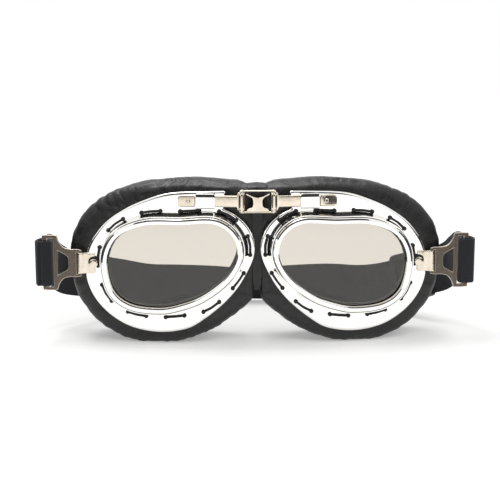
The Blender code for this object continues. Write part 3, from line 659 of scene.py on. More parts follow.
# Cellulose acetate, cast and polished: clear and smooth, with the warm grey cast of its age.
acetate, _ = surface("aged_cellulose_acetate", {
    "Base Color": linear("D9D2C8"), "Roughness": 0.0, "IOR": 1.48, "Transmission Weight": 1.0,
})
lens_share = np.linspace(0, 1, lens_steps)
lens_places = np.array([
    ring(cup_centre + (round_lens(lens_lap) - cup_centre) * share,
         face - lens_dome * (1 - share**2))
    for face, shares in ((lens_front, lens_share), (lens_back, lens_share[::-1]))
    for share in shares
])
both("lens_*_sheet", lambda side: skin(on_cup(side, lens_places)), acetate, "cup_*",
     "lens_*")

# ---------------------------------------------------------------------------------------------
# Cushions: a roll of foam round each eye under soft black leather, which is turned in behind
# the flange and laced to it. It crowns round the flange, gathers where it is pulled tight and
# is faced with felt inside, coloured darker as a painted shade as well.

pad_low = -0.5
pad_width = 99.3
pad_tall = 87.9
pad_shares = (
    (0.00, 0.973), (0.19, 0.991), (0.353, 1.00), (0.514, 0.986), (0.655, 0.968),
    (0.766, 0.927), (0.867, 0.859), (0.944, 0.762), (0.988, 0.654), (1.00, 0.54),
    (0.986, 0.375), (0.943, 0.25), (0.857, 0.129), (0.736, 0.04), (0.595, 0.002),
    (0.454, 0.00), (0.343, 0.033), (0.222, 0.092), (0.111, 0.182), (0.00, 0.29),
)
cavity_nose = 5.4
cavity_temple = 13.0
cavity_bottom = 8.9
cavity_top = 2.6
cavity_ease = 2.4
cavity_rise = 4.2
low_bearing = math.radians(292)
cushion_front = 4.6
cushion_back = 35.0
crown_depth = 7.4
tail_inset = 3.5
tail_turn = 2.4
cushion_lip = 1.5
fold_angle = math.radians(13)
clear_gap = 0.4
clear_ease = 0.5
ground_gap = 0.02
swell_scale = 5.0
swell_cap = 1.0
swell_frames = 20
swell_pressure = 4.0
swell_stiffness = 20.0
pad_step = 2
gather_pull = (0.75, 0.32)
gather_places = ((0.72, 0.35, 1.0), (1.6, 0.3, 0.6), (-1.1, 0.5, 0.4), (-2.2, 0.5, 0.35))
gather_length = 5.2
crease_rows = ((0.10, 17.0, 0.9), (0.09, 9.3, 1.4), (0.06, 5.1, 1.9))
roll_reach = 46.0
crease_fade = (20.0, 14.0)
crease_start = (0.5, 3.0)
crease_least = 0.35
felt_and_shade_row = (10.6, 0.4)

pad_edge = at_bearings(
    closed_by_line(placed(pad_shares, (frame_nose, pad_low), pad_width, pad_tall)), angles
)
cavity_edge = at_bearings(smooth_curve(placed(
    lens_shares, (lens_nose + cavity_nose, lens_low - cavity_bottom),
    lens_width - cavity_nose + cavity_temple, lens_height + cavity_bottom + cavity_top,
), True), angles)


def between(inner, outer, share):
    """An outline part of the way from one outline to another."""
    return inner + (outer - inner) * share


def nose_limit(depth):
    """Where the centre plane comes along the cup, when the cup is folded and slid right in."""
    reach = fit_gap + clear_gap - hinge_offset + depth * math.sin(fold_angle)
    return reach / math.cos(fold_angle)


def kept_clear(places):
    """Places held off the nose plane and the ground: what would pass the plane is eased back by
    the logarithm of one plus the exponential of its distance."""
    places = places.copy()
    limit = nose_limit(places[..., 1])
    past = (places[..., 0] - limit) / clear_ease
    places[..., 0] = limit + clear_ease * np.logaddexp(0, past)
    places[..., 2] = np.maximum(places[..., 2], ground_gap)
    return places


def corners_of(mesh):
    """The places of a mesh's points."""
    found = np.zeros(len(mesh.vertices) * 3)
    mesh.vertices.foreach_get("co", found)
    return found.reshape(-1, 3)


def swollen(places):
    mesh = skin(places * mm * swell_scale, loop=True)
    thing = put("swelling", mesh)
    settings = thing.modifiers.new("cloth", "CLOTH").settings
    settings.use_pressure = True
    settings.uniform_pressure_force = swell_pressure
    settings.effector_weights.gravity = 0.0
    settings.tension_stiffness = swell_stiffness
    settings.compression_stiffness = swell_stiffness
    for number in range(1, swell_frames + 1):
        bpy.context.scene.frame_set(number)
    step = (corners_of(shown_mesh(thing)) - corners_of(mesh)) / (mm * swell_scale)
    length = np.linalg.norm(step, axis=1, keepdims=True)
    step *= np.minimum(1, swell_cap / np.maximum(length, 1e-9))
    bpy.data.objects.remove(thing, do_unlink=True)
    bpy.context.scene.frame_set(1)
    return places + step.reshape(places.shape)


def normals_of(places):
    """The outward direction at each point of a closed grid: the cross product of the steps
    between its neighbours along the column and the row."""
    along = np.roll(places, -1, 1) - np.roll(places, 1, 1)
    across = np.roll(places, -1, 0) - np.roll(places, 1, 0)
    normal = np.cross(across, along)
    return normal / np.maximum(np.linalg.norm(normal, axis=-1, keepdims=True), 1e-9)


def finer(places):
    """A closed grid with a Catmull-Rom point between every two, along rows and columns."""
    places = smooth_curve(places, True, 2)
    return smooth_curve(places.swapaxes(0, 1), True, 2).swapaxes(0, 1)


throat_edge = round_lens(cushion_lip)
back_edge = within(pad_edge, tail_inset)
low_share = np.maximum(np.cos(angles - low_bearing), 0)[:, None] ** 2
cavity_wall = within(cavity_edge, cavity_rise * low_share - cavity_ease * (1 - low_share))
middle = (cushion_front + cushion_back) / 2
cushion_rows = (
    (throat_edge, cushion_front + 0.3),
    (within(flange_edge, skirt_wall), cushion_front + 0.1),
    (between(flange_edge, pad_edge, 0.10), cushion_front - 0.2),
    (between(flange_edge, pad_edge, 0.62), cushion_front - 0.1),
    (between(flange_edge, pad_edge, 1.02), cushion_front + 2.6),
    (within(pad_edge, -0.3), cushion_front + crown_depth),
    (within(pad_edge, 0.2), middle),
    (within(pad_edge, tail_inset * 0.33), middle + 0.55 * (cushion_back - middle)),
    (back_edge, cushion_back - tail_turn),
    (between(cavity_edge, back_edge, 0.80), cushion_back),
    (between(cavity_wall, back_edge, 0.20), cushion_back),
    (cavity_wall, cushion_back - tail_turn),
    (between(throat_edge, cavity_wall, 0.35), cushion_front + 0.6 * (middle - cushion_front)),
)
cushion_grid = rounded([ring(*row) for row in cushion_rows], math.inf, steps=3)
cushion_grid = finer(swollen(kept_clear(cushion_grid[:, ::pad_step])))


def creased(places, seed, pull):
    """The leather's creases and gathers, in millimetres along the outward direction. Waves run
    round the roll, shifted and faded by slower waves in depth. By the temple and the brow the
    gathers are as deep as the pull, and they fade towards the back."""
    apart = places - np.array((cup_centre[0], 0.0, cup_centre[1]))
    bearing = np.arctan2(apart[..., 2], apart[..., 0])
    depth = places[..., 1]
    run = bearing * roll_reach
    sway = np.sin(depth * 0.35 + seed) + 0.6 * np.sin(bearing * 5.0 + depth * 0.2 + 2.1 * seed)
    waves = sum(
        size * np.sin(run * 2 * math.pi / length + sway * bend + seed * (k + 1.3))
        for k, (size, length, bend) in enumerate(crease_rows)
    )
    front = np.clip((cushion_front + crease_fade[0] - depth) / crease_fade[1], 0, 1)
    gather = np.sin(run * math.pi / gather_length + 0.7 * sway + 1.1 * np.sin(run / 7.0 + seed))
    tight = sum(
        share * np.exp(-((bearing - at) / spread) ** 2) for at, spread, share in gather_places
    )
    outer = np.linalg.norm(apart[..., ::2], axis=-1)
    edge = np.interp(bearing % (2 * math.pi), angles,
                     np.linalg.norm(flange_edge - cup_centre, axis=1), period=2 * math.pi)
    outside = np.clip((outer - edge - crease_start[0]) / crease_start[1], 0, 1)
    gather = pull * (np.abs(gather) ** 0.7 - 0.6) * tight * front
    return outside * (waves * (crease_least + (1 - crease_least) * front) + gather)


# Soft PU-coated leather: near black and satin, with a pebble grain. The grain is 0.6 mm across,
# drawn at about 1.1 mm to show, and slow shades of handling and wear lie over it. Marked parts
# inside the cup are faced with dull black felt, whose darker colour is partly painted shade.
leather, tree = surface("coated_black_leather")
place = node(tree, "TexCoord").outputs["Object"]
patches = node(tree, "TexNoise", {"Scale": 70.0, "Detail": 4.0}, {"Vector": place})
felt_and_shade = node(tree, "Attribute", {"attribute_name": "marks"}).outputs["Fac"]
bend = node(tree, "TexNoise", {"Scale": 420.0}, {"Vector": place})
bent = node(tree, "VectorMath", {"operation": "MULTIPLY_ADD", 1: (0.0012,) * 3},
            {0: bend.outputs["Color"], 2: place})
pebbles = node(tree, "TexVoronoi", {"feature": "SMOOTH_F1", "Scale": 900.0, "Smoothness": 0.4},
               {"Vector": bent})
fine = node(tree, "Bump", {"Strength": 0.5, "Distance": 0.00018, "invert": True},
            {"Height": pebbles})
creases = node(tree, "TexNoise", {"Scale": 230.0, "Detail": 3.0, "Distortion": 0.2},
               {"Vector": place})
shade = node(tree, "Mix", {"data_type": "RGBA", 6: linear("111112"), 7: linear("201F1F")},
             {"Factor": patches})
node(tree, "Bump", {"Strength": 0.35, "Distance": 0.0008}, {"Height": creases, "Normal": fine},
     "Normal")
# Inside the cup the colour goes darker: dull felt, and painted shade.
node(tree, "Mix", {"data_type": "RGBA", 7: linear("0B0B0C")}, {"Factor": felt_and_shade, 6: shade},
     "Base Color")
gloss = node(tree, "MapRange", {1: 0.3, 2: 0.7, 3: 0.34, 4: 0.48}, {0: patches})
node(tree, "Math", {"operation": "MAXIMUM"}, {0: gloss, 1: felt_and_shade}, "Roughness")
node(tree, "MapRange", {3: 0.5, 4: 0.05}, {0: felt_and_shade}, "Specular IOR Level")

# From this row on, the cushion's inside is felt, darkened as painted shade too.
rows_from_start = np.arange(len(cushion_grid)) * len(cushion_rows) / len(cushion_grid)
felt_and_shade_marks = np.clip((rows_from_start - felt_and_shade_row[0]) / felt_and_shade_row[1], 0, 1)[:, None]
felt_and_shade_marks = felt_and_shade_marks * np.ones(cushion_grid.shape[1])


def cushion_skin(side):
    """The cushion's grid, moved along its outward directions by the creases of its side."""
    shift = creased(cushion_grid, 1.0 + 0.7 * side, gather_pull[side > 0])[..., None]
    places = kept_clear(cushion_grid + shift * normals_of(cushion_grid))
    return skin(on_cup(side, places), loop=True, marks=felt_and_shade_marks)


for cushion in both("cushion_*_leather", cushion_skin, leather, "cup_*",
                    "cushion_*"):
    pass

# ---------------------------------------------------------------------------------------------
# Face linings: a strip of velvet over thin foam round the back of each cushion, against the
# skin. It is glued down along both its edges.

lining_seat = cushion_back - 0.9
lining_rows = ((0.20, 0.0), (0.80, 0.0), (0.80, 1.5), (0.50, 2.5), (0.20, 1.5))
lining_grid = kept_clear(rounded(
    [ring(between(cavity_edge, back_edge, share), lining_seat + rise)
     for share, rise in lining_rows], math.inf, steps=4,
))

# Cotton velvet: deep black with a soft sheen at its turns. The pile is drawn in clumps of 1 mm.
velvet, tree = surface("cotton_velvet", {
    "Roughness": 0.95, "Sheen Weight": 0.5, "Sheen Roughness": 0.4,
})
place = node(tree, "TexCoord").outputs["Object"]
pile = node(tree, "TexNoise", {"Scale": 1000.0, "Detail": 3.0}, {"Vector": place})
patterned(tree, ("0E0E10", "202024"), pile, (pile, 0.6, 0.0003))
for lining in both("face_lining_*_velvet", lambda side: skin(on_cup(side, lining_grid), loop=True),
                   velvet, "cup_*", "face_lining_*"):
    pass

# ---------------------------------------------------------------------------------------------
# Laces: one waxed cotton cord in each cup, in a running stitch through flange and leather. The
# holes pinch it, so it fills them and shows as a dot at each end of a dash.

lace_radius = 0.6
knot_radius = 1.18
knot_reach = 0.8
lace_front = flange_front - lace_radius - 0.25
lace_back = 3.5
lace_turn = 0.9
lace_sides = 12
mouth_depth = flange_front - 0.6

# Waxed cotton cord: black and a little shiny, laid from fine strands that wind once in 2 mm.
cord, tree = surface("waxed_cotton_cord", {"Roughness": 0.6})
place = node(tree, "UVMap", {"uv_map": "cloth"})
strands = node(
    tree, "TexWave", {"bands_direction": "DIAGONAL", "Scale": 260.0, "Distortion": 0.6},
    {"Vector": place},
).outputs["Fac"]
patterned(tree, ("0D0D0F", "1D1D21"), strands, (strands, 0.5, 0.0002))

route = []
aside = []
place_normal = on_hole_line(lace_stations + 0.5) - on_hole_line(lace_stations - 0.5)
place_normal = np.stack([place_normal[:, 1], -place_normal[:, 0]], 1)
for k in range(0, 4 * dash_count, 4):
    last = (k + 2) % len(lace_places)
    for station, depth in (
        (k, lace_back), (k, lace_front), (k + 1, lace_front),
        (last, lace_front), (last, lace_back), (k + 3, lace_back),
    ):
        route.append((lace_places[station][0], depth, lace_places[station][1]))
        aside.append((place_normal[station][0], 0.0, place_normal[station][1]))
lace_path = smooth_curve(rounded(route, lace_turn, steps=4), True, 2)
lace_aside = np.repeat(aside, len(lace_path) // len(aside), axis=0)


def tube(path, radius, aside):
    """A round tube along a closed path: a circle about each point, square to the path, that
    starts from the direction given aside."""
    along = unit(np.roll(path, -1, 0) - np.roll(path, 1, 0))
    first = unit(aside - (aside * along).sum(1, keepdims=True) * along)
    second = np.cross(along, first)
    turn = circle(lace_sides)
    spokes = first[:, None] * np.cos(turn)[:, None] + second[:, None] * np.sin(turn)[:, None]
    return path[:, None] + radius[:, None, None] * spokes


mouths = ring(lace_places[::2], mouth_depth)
near = np.linalg.norm(lace_path[:, None] - mouths[None], axis=2).min(1)
lace_width = lace_radius + (knot_radius - lace_radius) * np.exp(-((near / knot_reach) ** 4))
lace_grid = tube(lace_path, lace_width, lace_aside)
girth = np.arange(lace_sides + 1) / lace_sides * 2 * math.pi * lace_radius
run = run_of(np.vstack([lace_path, lace_path[:1]]))
lace_layout = np.stack(np.meshgrid(run * mm, girth * mm, indexing="ij"), -1)
both("lace_*_cord", lambda side: skin(on_cup(side, lace_grid), loop=True, layout=lace_layout),
     cord, "cup_*", "lace_*")

# ---------------------------------------------------------------------------------------------
# Bridge tabs: stamped strips, nickel plated. The wide end is rolled round the link's bar, and
# the stop pressed up near the other end keeps the tab in its keeper.

tab_length = 33.3
knuckle_half = 4.8
knuckle_radius = 1.6
shoulder_start = 1.7
shoulder_length = 0.9
tab_stop = 27.8
tab_crown = 0.12
tab_twist = (0.0, math.radians(8))
twist_start = 25.5
twist_length = 1.5
tip_length = 2.0
tip_draw = 1.2
edge_points = 7
turned_sides = 48
stop_profile = (
    (0.0, -0.55), (0.35, -0.62), (0.6, -0.82), (0.85, -1.0), (1.05, -0.93), (1.2, -0.72),
    (1.3, -0.4), (0.0, -0.3),
)


def turned(side, along, height, profile):
    """A turned piece: each radius and depth of the profile goes once round the centre."""
    turn = circle(turned_sides)
    radius, depth = np.asarray(profile, float).T
    places = np.stack([
        along + radius[:, None] * np.cos(turn),
        np.broadcast_to(depth[:, None], (len(radius), turned_sides)),
        height + radius[:, None] * np.sin(turn),
    ], -1)
    return skin(on_cup(side, places))


def band(route, ups, outs, half_width, half_thickness, crown=0.0, face_points=16):
    """A strip along a route, with rounded edges: two faces and two half circles are carried
    along it, upwards by the half width and outwards by the half thickness. The outer face
    swells by the crown times one less the square of its share of the width."""
    turn = np.linspace(-math.pi / 2, math.pi / 2, edge_points)
    share = np.linspace(-1, 1, face_points)[1:-1]
    end, none = np.ones(edge_points), np.zeros(face_points - 2)
    flat = np.concatenate([end, -share, -end, share])
    bulge = np.concatenate([np.cos(turn), none, -np.cos(turn), none])
    face = np.concatenate([np.sin(turn), none + 1, -np.sin(turn), none - 1])
    thick = np.broadcast_to(half_thickness, len(route))[:, None]
    wide = np.broadcast_to(half_width, len(route))[:, None]
    up = flat * (wide - thick) + bulge * thick
    out = face * thick + np.maximum(face, 0) * crown * (1 - (up / wide) ** 2)
    return route[:, None] + up[..., None] * ups[:, None] + out[..., None] * outs[:, None]


# Bright nickel plate on stamped brass: warmer than chrome and softer in its gloss, with fine
# draw lines along the strip, 0.2 mm apart and drawn at 0.6 mm.
nickel, tree = surface("bright_nickel_plate", {"Metallic": 1.0})
place = node(tree, "TexCoord").outputs["Object"]
drawn = node(tree, "Mapping", {"Scale": (60.0, 60.0, 1600.0)}, {"Vector": place})
lines = node(tree, "TexNoise", {"Scale": 1.0}, {"Vector": drawn})
marks = node(tree, "TexNoise", {"Scale": 300.0, "Detail": 4.0}, {"Vector": place})
patterned(tree, ("EFE6D9", "D9CBB6"), marks, (lines, 0.08, 0.0002), (0.10, 0.26))

turn = np.linspace(-math.pi / 2, math.pi / 2, 15)[1:-1]
tab_along = np.concatenate([
    knuckle_radius * np.sin(turn), np.linspace(1.75, 3.0, 9), np.linspace(3.3, 30.0, 24),
    tab_length - tip_length + tip_length * np.sin(np.linspace(0, math.pi / 2, 10)[:-1]),
    [tab_length - 0.01],
])
bulge = np.sqrt(np.maximum(knuckle_radius**2 - tab_along**2, 0))
tab_thick = np.maximum(bulge, tab_thickness / 2)
shoulder = np.clip((tab_along - shoulder_start) / shoulder_length, 0, 1)
tab_wide = knuckle_half - (knuckle_half - tab_half) * shoulder**2 * (3 - 2 * shoulder)
tip = np.clip((tab_along - (tab_length - tip_length)) / tip_length, 0, 1)
tab_wide = tab_wide - tip_draw * (1 - np.sqrt(1 - tip**2))


def tab_strip(side):
    """The strip of one side: its free end leans back by the twist."""
    twist = tab_twist[side > 0] * np.clip((tab_along - twist_start) / twist_length, 0, 1)
    route = np.stack([tab_along, -np.sin(twist), tab_along * 0 + tab_height], 1)
    ups = np.stack([0 * twist, np.sin(twist), np.cos(twist)], 1)
    outs = np.stack([0 * twist, -np.cos(twist), np.sin(twist)], 1)
    return skin(on_cup(side, band(route, ups, outs, tab_wide, tab_thick, tab_crown)))


for side, word in sides:
    add_piece("bridge_tab_" + word + "_strip", tab_strip(side), nickel, "tab_" + word,
              "bridge_tab_" + word)
    add_piece("bridge_tab_stop_" + word, turned(side, tab_stop, tab_height, stop_profile),
              nickel, "tab_" + word)

# ---------------------------------------------------------------------------------------------
# Bridge link: a nickel-plated die casting. Two round upright bars carry the tabs, a thin bar
# and a thick one join them, and a waisted web stands on the thick one.

link_top = 0.45
link_bottom = 0.5
link_bar = 1.3
link_bar_reach = 1.2
link_depth = 0.6
link_inside = 5.1
link_turn = 0.9
link_step = 0.8
link_sides = 20
web_reach = 4.8
web_thickness = 1.1
web_edge = 0.12
web_steps = 4
web_shares = (
    (0.69, -1.10), (0.69, -0.98), (0.60, -0.77), (0.34, -0.58), (0.286, -0.04), (0.34, 0.35),
    (0.51, 0.56), (0.69, 0.72), (0.69, 0.86), (0.31, 0.54), (0.00, 0.40),
)


def on_pair(points):
    """Places of the pair's own, square to the front, in the shared frame and in metres."""
    return (points + np.array((0.0, hinge_depth, 0.0))) * mm


bottom = tab_height - link_inside - link_bottom
top = tab_height + link_inside + link_top
route = rounded(ring([
    (-hinge_offset, bottom), (hinge_offset, bottom), (hinge_offset, top), (-hinge_offset, top),
], 0.0), link_turn, steps=6)
route = np.concatenate([
    start + (end - start) * np.linspace(
        0, 1, max(1, math.ceil(np.linalg.norm(end - start) / link_step)), endpoint=False
    )[:, None]
    for start, end in zip(route, np.roll(route, -1, 0))
])
upright = np.clip((np.abs(route[:, 0]) - hinge_offset + link_bar_reach) / link_bar_reach, 0, 1)
slim = np.where(route[:, 2] > tab_height, link_top, link_bottom)
in_plane = slim + (link_bar - slim) * upright**2
in_depth = link_depth + (link_bar - link_depth) * upright**2
along = unit(np.roll(route, -1, 0) - np.roll(route, 1, 0))
aside = np.stack([along[:, 2], along[:, 1], -along[:, 0]], 1)
turn = circle(link_sides)
rings = route[:, None] + (
    (in_plane[:, None] * np.cos(turn))[..., None] * aside[:, None]
    + (in_depth[:, None] * np.sin(turn))[..., None] * np.array((0.0, 1.0, 0.0))
)
add_piece("bridge_link_frame", skin(on_pair(rings), loop=True), nickel, "link",
          "bridge_link")


def plate(outline):
    """The web's plate with rounded edges: the outline is carried from front to back, drawn in
    by a quarter circle at either face, and each face is closed flat."""
    normal = outward(outline)
    turn = np.linspace(0, math.pi / 2, web_steps)
    down, up = web_edge * (1 - np.sin(turn)), web_edge * (1 - np.cos(turn))
    drawn = np.concatenate([down, up])
    depth = np.concatenate([-web_thickness / 2 + up, web_thickness / 2 - down])
    return np.array([ring(outline - inset * normal, at) for inset, at in zip(drawn, depth)])


half_web = smooth_curve(np.array(web_shares) * (hinge_offset, web_reach), False, 6)
web = np.vstack([half_web, half_web[-2::-1] * (-1, 1)]) + (0.0, tab_height)
web_piece = add_piece("bridge_link_web", skin(on_pair(plate(web))), nickel, "link")
web_piece.modifiers.new("flats", "WEIGHTED_NORMAL")

# ---------------------------------------------------------------------------------------------
# Nose leather: the soft leather sewn between the cushions over the nose. It is in two parts on
# each side.

nose_outline = (
    (5.9, 28.5), (14.0, 30.0), (24.0, 44.0), (24.0, 80.0), (18.0, 86.5), (8.6, 86.5), (5.9, 82.0),
)
nose_top = 86.5
nose_sag = 0.35
nose_lap = 1.5
nose_dip = 0.6
nose_ripple = 0.22
ripple_bends = (1.1, 3.0, 2.0)
crest_start = 79.0
crest_spread = 3.4
crest_drop = 1.3
nose_rows = 9


def nose_part(inner, outer):
    """A part of the leather between two shares of the way across: its outline runs round in
    depth and height, sags towards the middle as a squared cosine and ripples along the top.
    Above the crest's start it spreads over the cushions and falls away as the share squared."""
    share = np.linspace(inner, outer, nose_rows)[:, None]
    depth, height = rounded(nose_outline, math.inf, steps=12).T
    limit = nose_limit(depth)
    crest = np.clip((height - crest_start) / (nose_top - crest_start), 0, 1) ** 2
    across = hinge_offset + limit * math.cos(wrap_angle) - depth * math.sin(wrap_angle)
    across = across + nose_lap + crest_spread * crest
    sag = nose_sag * np.cos(share * math.pi / 2) ** 2
    down, across_it, fade = ripple_bends
    ripple = nose_ripple * np.sin(depth * down + across_it * share) * np.cos(share * fade)
    rise = np.clip((height - lens_middle) / (nose_top - lens_middle), 0, 1)
    return np.stack([
        share * across,
        limit * math.sin(wrap_angle) + depth * math.cos(wrap_angle) + sag * nose_dip + 0 * share,
        height + (ripple - sag) * rise - crest_drop * crest * share**2,
    ], -1)


def blend(thing, bodies, word):
    """Bakes the piece's place into its mesh; the two bodies named for the side are not used."""
    bodies = [body.replace("*", word) for body in bodies]
    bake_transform(thing)


for side, word in sides:
    for name, inner, outer, bodies in (
        ("nose_leather_outer_", 0.5, 1.0, ("cup_*", "tab_*")),
        ("nose_leather_inner_", 0.0, 0.5, ("tab_*", "link")),
    ):
        places = nose_part(inner, outer) * (side, 1, 1)
        strip = add_piece(name + word, skin(on_pair(places)), leather, "",
                          "nose_gusset")
        blend(strip, bodies, word)

# ---------------------------------------------------------------------------------------------
# Side tabs: stamped nickel-plated strips, held at the temple by a riveted stud over a rubber
# washer, and rolled round the bar of the strap clip.

side_half = 5.5
side_bend = ((77.9, 0.0), (80.0, 0.0), (82.2, -0.05), (83.4, -0.5), (84.3, -1.15))
side_thins = (80.0, 84.0)
side_thick = (0.42, 0.24)
stud_along = frame_temple - 4.9
stud_profile = (
    (0.0, -1.30), (0.9, -1.29), (1.7, -1.24), (2.15, -1.10), (2.3, -0.95), (2.3, -0.80),
    (1.6, -0.76), (1.6, 1.2), (0.0, 1.2),
)
washer_profile = (
    (0.0, -0.74), (2.4, -0.74), (2.75, -0.68), (2.8, -0.55), (2.7, -0.35), (0.0, -0.35),
)
washer_lift = 0.85
clip_axis = frame_temple + 2.2
roll_radius = 1.52
roll_turn = np.radians(np.arange(-20, 236, 16))


def standing(route, height):
    """A flat route as one for a standing band: its points at a height, and the directions up
    and out at each of them."""
    along = unit(np.gradient(route, axis=0))
    zero = np.zeros(len(route))
    return (
        np.stack([route[:, 0], route[:, 1], zero + height], 1),
        np.stack([zero, zero, zero + 1], 1),
        np.stack([along[:, 1], -along[:, 0], zero], 1),
    )


side_roll = np.stack([np.sin(roll_turn), -np.cos(roll_turn)], 1) * roll_radius
side_route = smooth_curve(np.vstack([side_bend, side_roll + (clip_axis, 0.0)]), False, 5)
side_places = band(*standing(side_route, lens_middle), side_half,
                   np.interp(side_route[:, 0], side_thins, side_thick))
for side, word in sides:
    add_piece("side_tab_" + word + "_strip", skin(on_cup(side, side_places)), nickel,
              "cup_" + word, "side_tab_" + word)
    add_piece("side_stud_" + word, turned(side, stud_along, lens_middle, stud_profile),
              nickel, "cup_" + word)
    washer = turned(side, stud_along, lens_middle + washer_lift, washer_profile)
    add_piece("side_washer_" + word, washer, rubber, "cup_" + word)

# ---------------------------------------------------------------------------------------------
# Strap clips: die-cast frames with a dark antique finish, their edges coloured light as wear
# from rubbing and as a painted highlight. Each has a bar for the side tab, a pierced window and
# a slot for the strap.

clip_half = 14.7
clip_reach = 20.2
clip_thickness = 1.4
clip_shares = (
    (-0.035, 0.47), (0.07, 0.50), (0.27, 0.505), (0.44, 0.57), (0.56, 0.76), (0.61, 0.955),
    (0.66, 1.00), (0.94, 1.00), (1.00, 0.95), (1.00, 0.60),
)
hinge_slot = ((0.7, 5.8), (2.05, 5.8))
strap_slot = ((14.4, 13.0), (17.6, 13.0))
clip_window = ((6.3, 2.38), (7.1, 3.83), (12.1, 6.6))
punch_half = 3.0
clip_edge = 0.22
bevel_faces = 3
bevel_angle = math.radians(40)
flat_share = 0.99

# Antique nickel on die-cast zinc: dark in the hollows. The edge faces are coloured light, partly
# as wear from rubbing and partly as a painted highlight of the bevels. The mottling is about
# 2 mm across.
antique, tree = surface("antique_nickel_plate", {"Metallic": 1.0})
place = node(tree, "TexCoord").outputs["Object"]
mottle = node(tree, "TexNoise", {"Scale": 500.0, "Detail": 5.0}, {"Vector": place})
dull = patterned(tree, ("574F47", "80756A"), mottle, (mottle, 0.3, 0.0001), (0.30, 0.48))
# The edge faces are coloured light: partly wear from rubbing, partly a painted highlight.
wear_and_highlight = node(tree, "Attribute", {"attribute_name": "edge_wear_and_highlight"}).outputs["Fac"]
node(tree, "Mix", {"data_type": "RGBA", 7: linear("DDD3C6")}, {"Factor": wear_and_highlight, 6: dull},
     "Base Color")


def prism(side, outline, half_depth):
    """A flat outline on the clip carried straight from front to back."""
    outline = outline + (clip_axis, lens_middle)
    return skin(on_cup(side, np.array([ring(outline, -half_depth), ring(outline, half_depth)])))


def mirrored(points):
    """The points and their reflections below the middle."""
    points = np.asarray(points, float)
    return np.vstack([points, points[::-1] * (1, -1)])


def bevelled(mesh, width):
    """The mesh with its sharp edges rounded off by narrow faces."""
    thing = put("blank", mesh)
    thing.modifiers.new("triangles", "TRIANGULATE").min_vertices = 4
    bevel = thing.modifiers.new("edges", "BEVEL")
    bevel.width = width * mm
    bevel.segments = bevel_faces
    bevel.use_clamp_overlap = False
    bevel.limit_method = "ANGLE"
    bevel.angle_limit = bevel_angle
    result = shown_mesh(thing)
    bpy.data.objects.remove(thing, do_unlink=True)
    result.shade_smooth()
    return result


clip_outline = mirrored(smooth_curve(np.array(clip_shares) * (clip_reach, clip_half), False, 5))


def clip_cast(side):
    """The clip of one side. Its edge faces are marked light: wear and a painted highlight."""
    holes = (hinge_slot, strap_slot, clip_window)
    tools = [prism(side, mirrored(hole), punch_half) for hole in holes]
    mesh = bevelled(carved(prism(side, clip_outline, clip_thickness / 2), tools), clip_edge)
    facing = np.zeros(len(mesh.polygons) * 3)
    mesh.polygons.foreach_get("normal", facing)
    across = np.array((-side * math.sin(wrap_angle), math.cos(wrap_angle), 0.0))
    # Faces off the flats take the light edge colour, a painted highlight as well as wear.
    edge_wear_and_highlight = (np.abs(facing.reshape(-1, 3) @ across) < flat_share).astype(float)
    mesh.attributes.new("edge_wear_and_highlight", "FLOAT", "FACE").data.foreach_set("value", edge_wear_and_highlight)
    return mesh


for clip in both("strap_clip_*_cast", clip_cast, antique, "clip_*",
                 "strap_clip_*"):
    clip.modifiers.new("flats", "WEIGHTED_NORMAL").keep_sharp = False

# ---------------------------------------------------------------------------------------------
# Strap: one band of black ribbed elastic, 25 mm wide. It is folded round each clip's outer bar,
# sewn to itself, and runs behind in a long loop that stands on its lower edge.

strap_half = 12.5
strap_thick = 0.65
slot_middle = 16.0
loop_half = 12.0
loop_drop = 0.4
loop_width = 8.2
loop_depth = 14.0
loop_shares = (
    (0.560, 1.00), (0.554, 0.88), (0.304, 0.50), (0.073, 0.25), (-0.012, 0.057),
    (0.000, -0.043), (0.079, -0.12), (0.245, -0.145), (0.548, -0.143), (0.793, -0.09),
    (0.950, 0.071), (1.000, 0.286), (0.926, 0.60), (0.811, 0.88), (0.805, 1.00),
)
fold_count = 9
fold_rise = (0.75, 0.12)
fold_middle = 0.66
fold_spread = 0.13
strap_reach = 109.2
strap_lift = 0.6
strap_lean = math.radians(31)
lean_row = 8
strap_shares = (
    (1.000, 0.000, 1.000), (0.995, 0.040, 0.998), (0.990, 0.085, 0.965),
    (0.983, 0.135, 0.880), (0.967, 0.210, 0.735), (0.932, 0.285, 0.590),
    (0.860, 0.403, 0.4533), (0.788, 0.521, 0.3167), (0.716, 0.639, 0.180),
    (0.590, 0.800, 0.070), (0.410, 0.925, 0.030), (0.205, 0.985, 0.018),
    (0.000, 1.000, 0.015),
)
strap_waves = ((-0.72, 0.13, 2.6), (0.62, 0.12, -1.3))
strap_steps = 12
strap_face_points = 28
strap_cuts = (0.0, 10.0, 13.0, 24.0)

# Woven elastic: black polyester over rubber threads. Ribs run along it, 1 mm apart, and the
# weft crosses them every 0.6 mm, drawn at 1.2 mm. Threads that stand out are coloured lighter,
# a painted sheen, besides the shader's own soft sheen.
elastic, tree = surface("ribbed_elastic_webbing", {"Roughness": 0.85, "Sheen Weight": 0.15})
place = node(tree, "UVMap", {"uv_map": "cloth"})
ribs, weft = (
    node(tree, "TexWave", {"bands_direction": way, "Scale": scale, "Distortion": bend},
         {"Vector": place}).outputs["Fac"]
    for way, scale, bend in (("Y", 314.0, 0.15), ("X", 262.0, 0.5))
)
fuzz = node(tree, "TexNoise", {"Scale": 900.0, "Detail": 3.0}, {"Vector": place})
height = node(tree, "Math", {"operation": "MULTIPLY_ADD", 1: 0.35}, {0: weft, 2: ribs})
# The colour lightens where the threads stand out: a painted sheen.
shade = node(tree, "Math", {"operation": "MULTIPLY"}, {0: height, 1: fuzz})
patterned(tree, ("17181C", "212329"), shade, (height, 0.16, 0.0002))


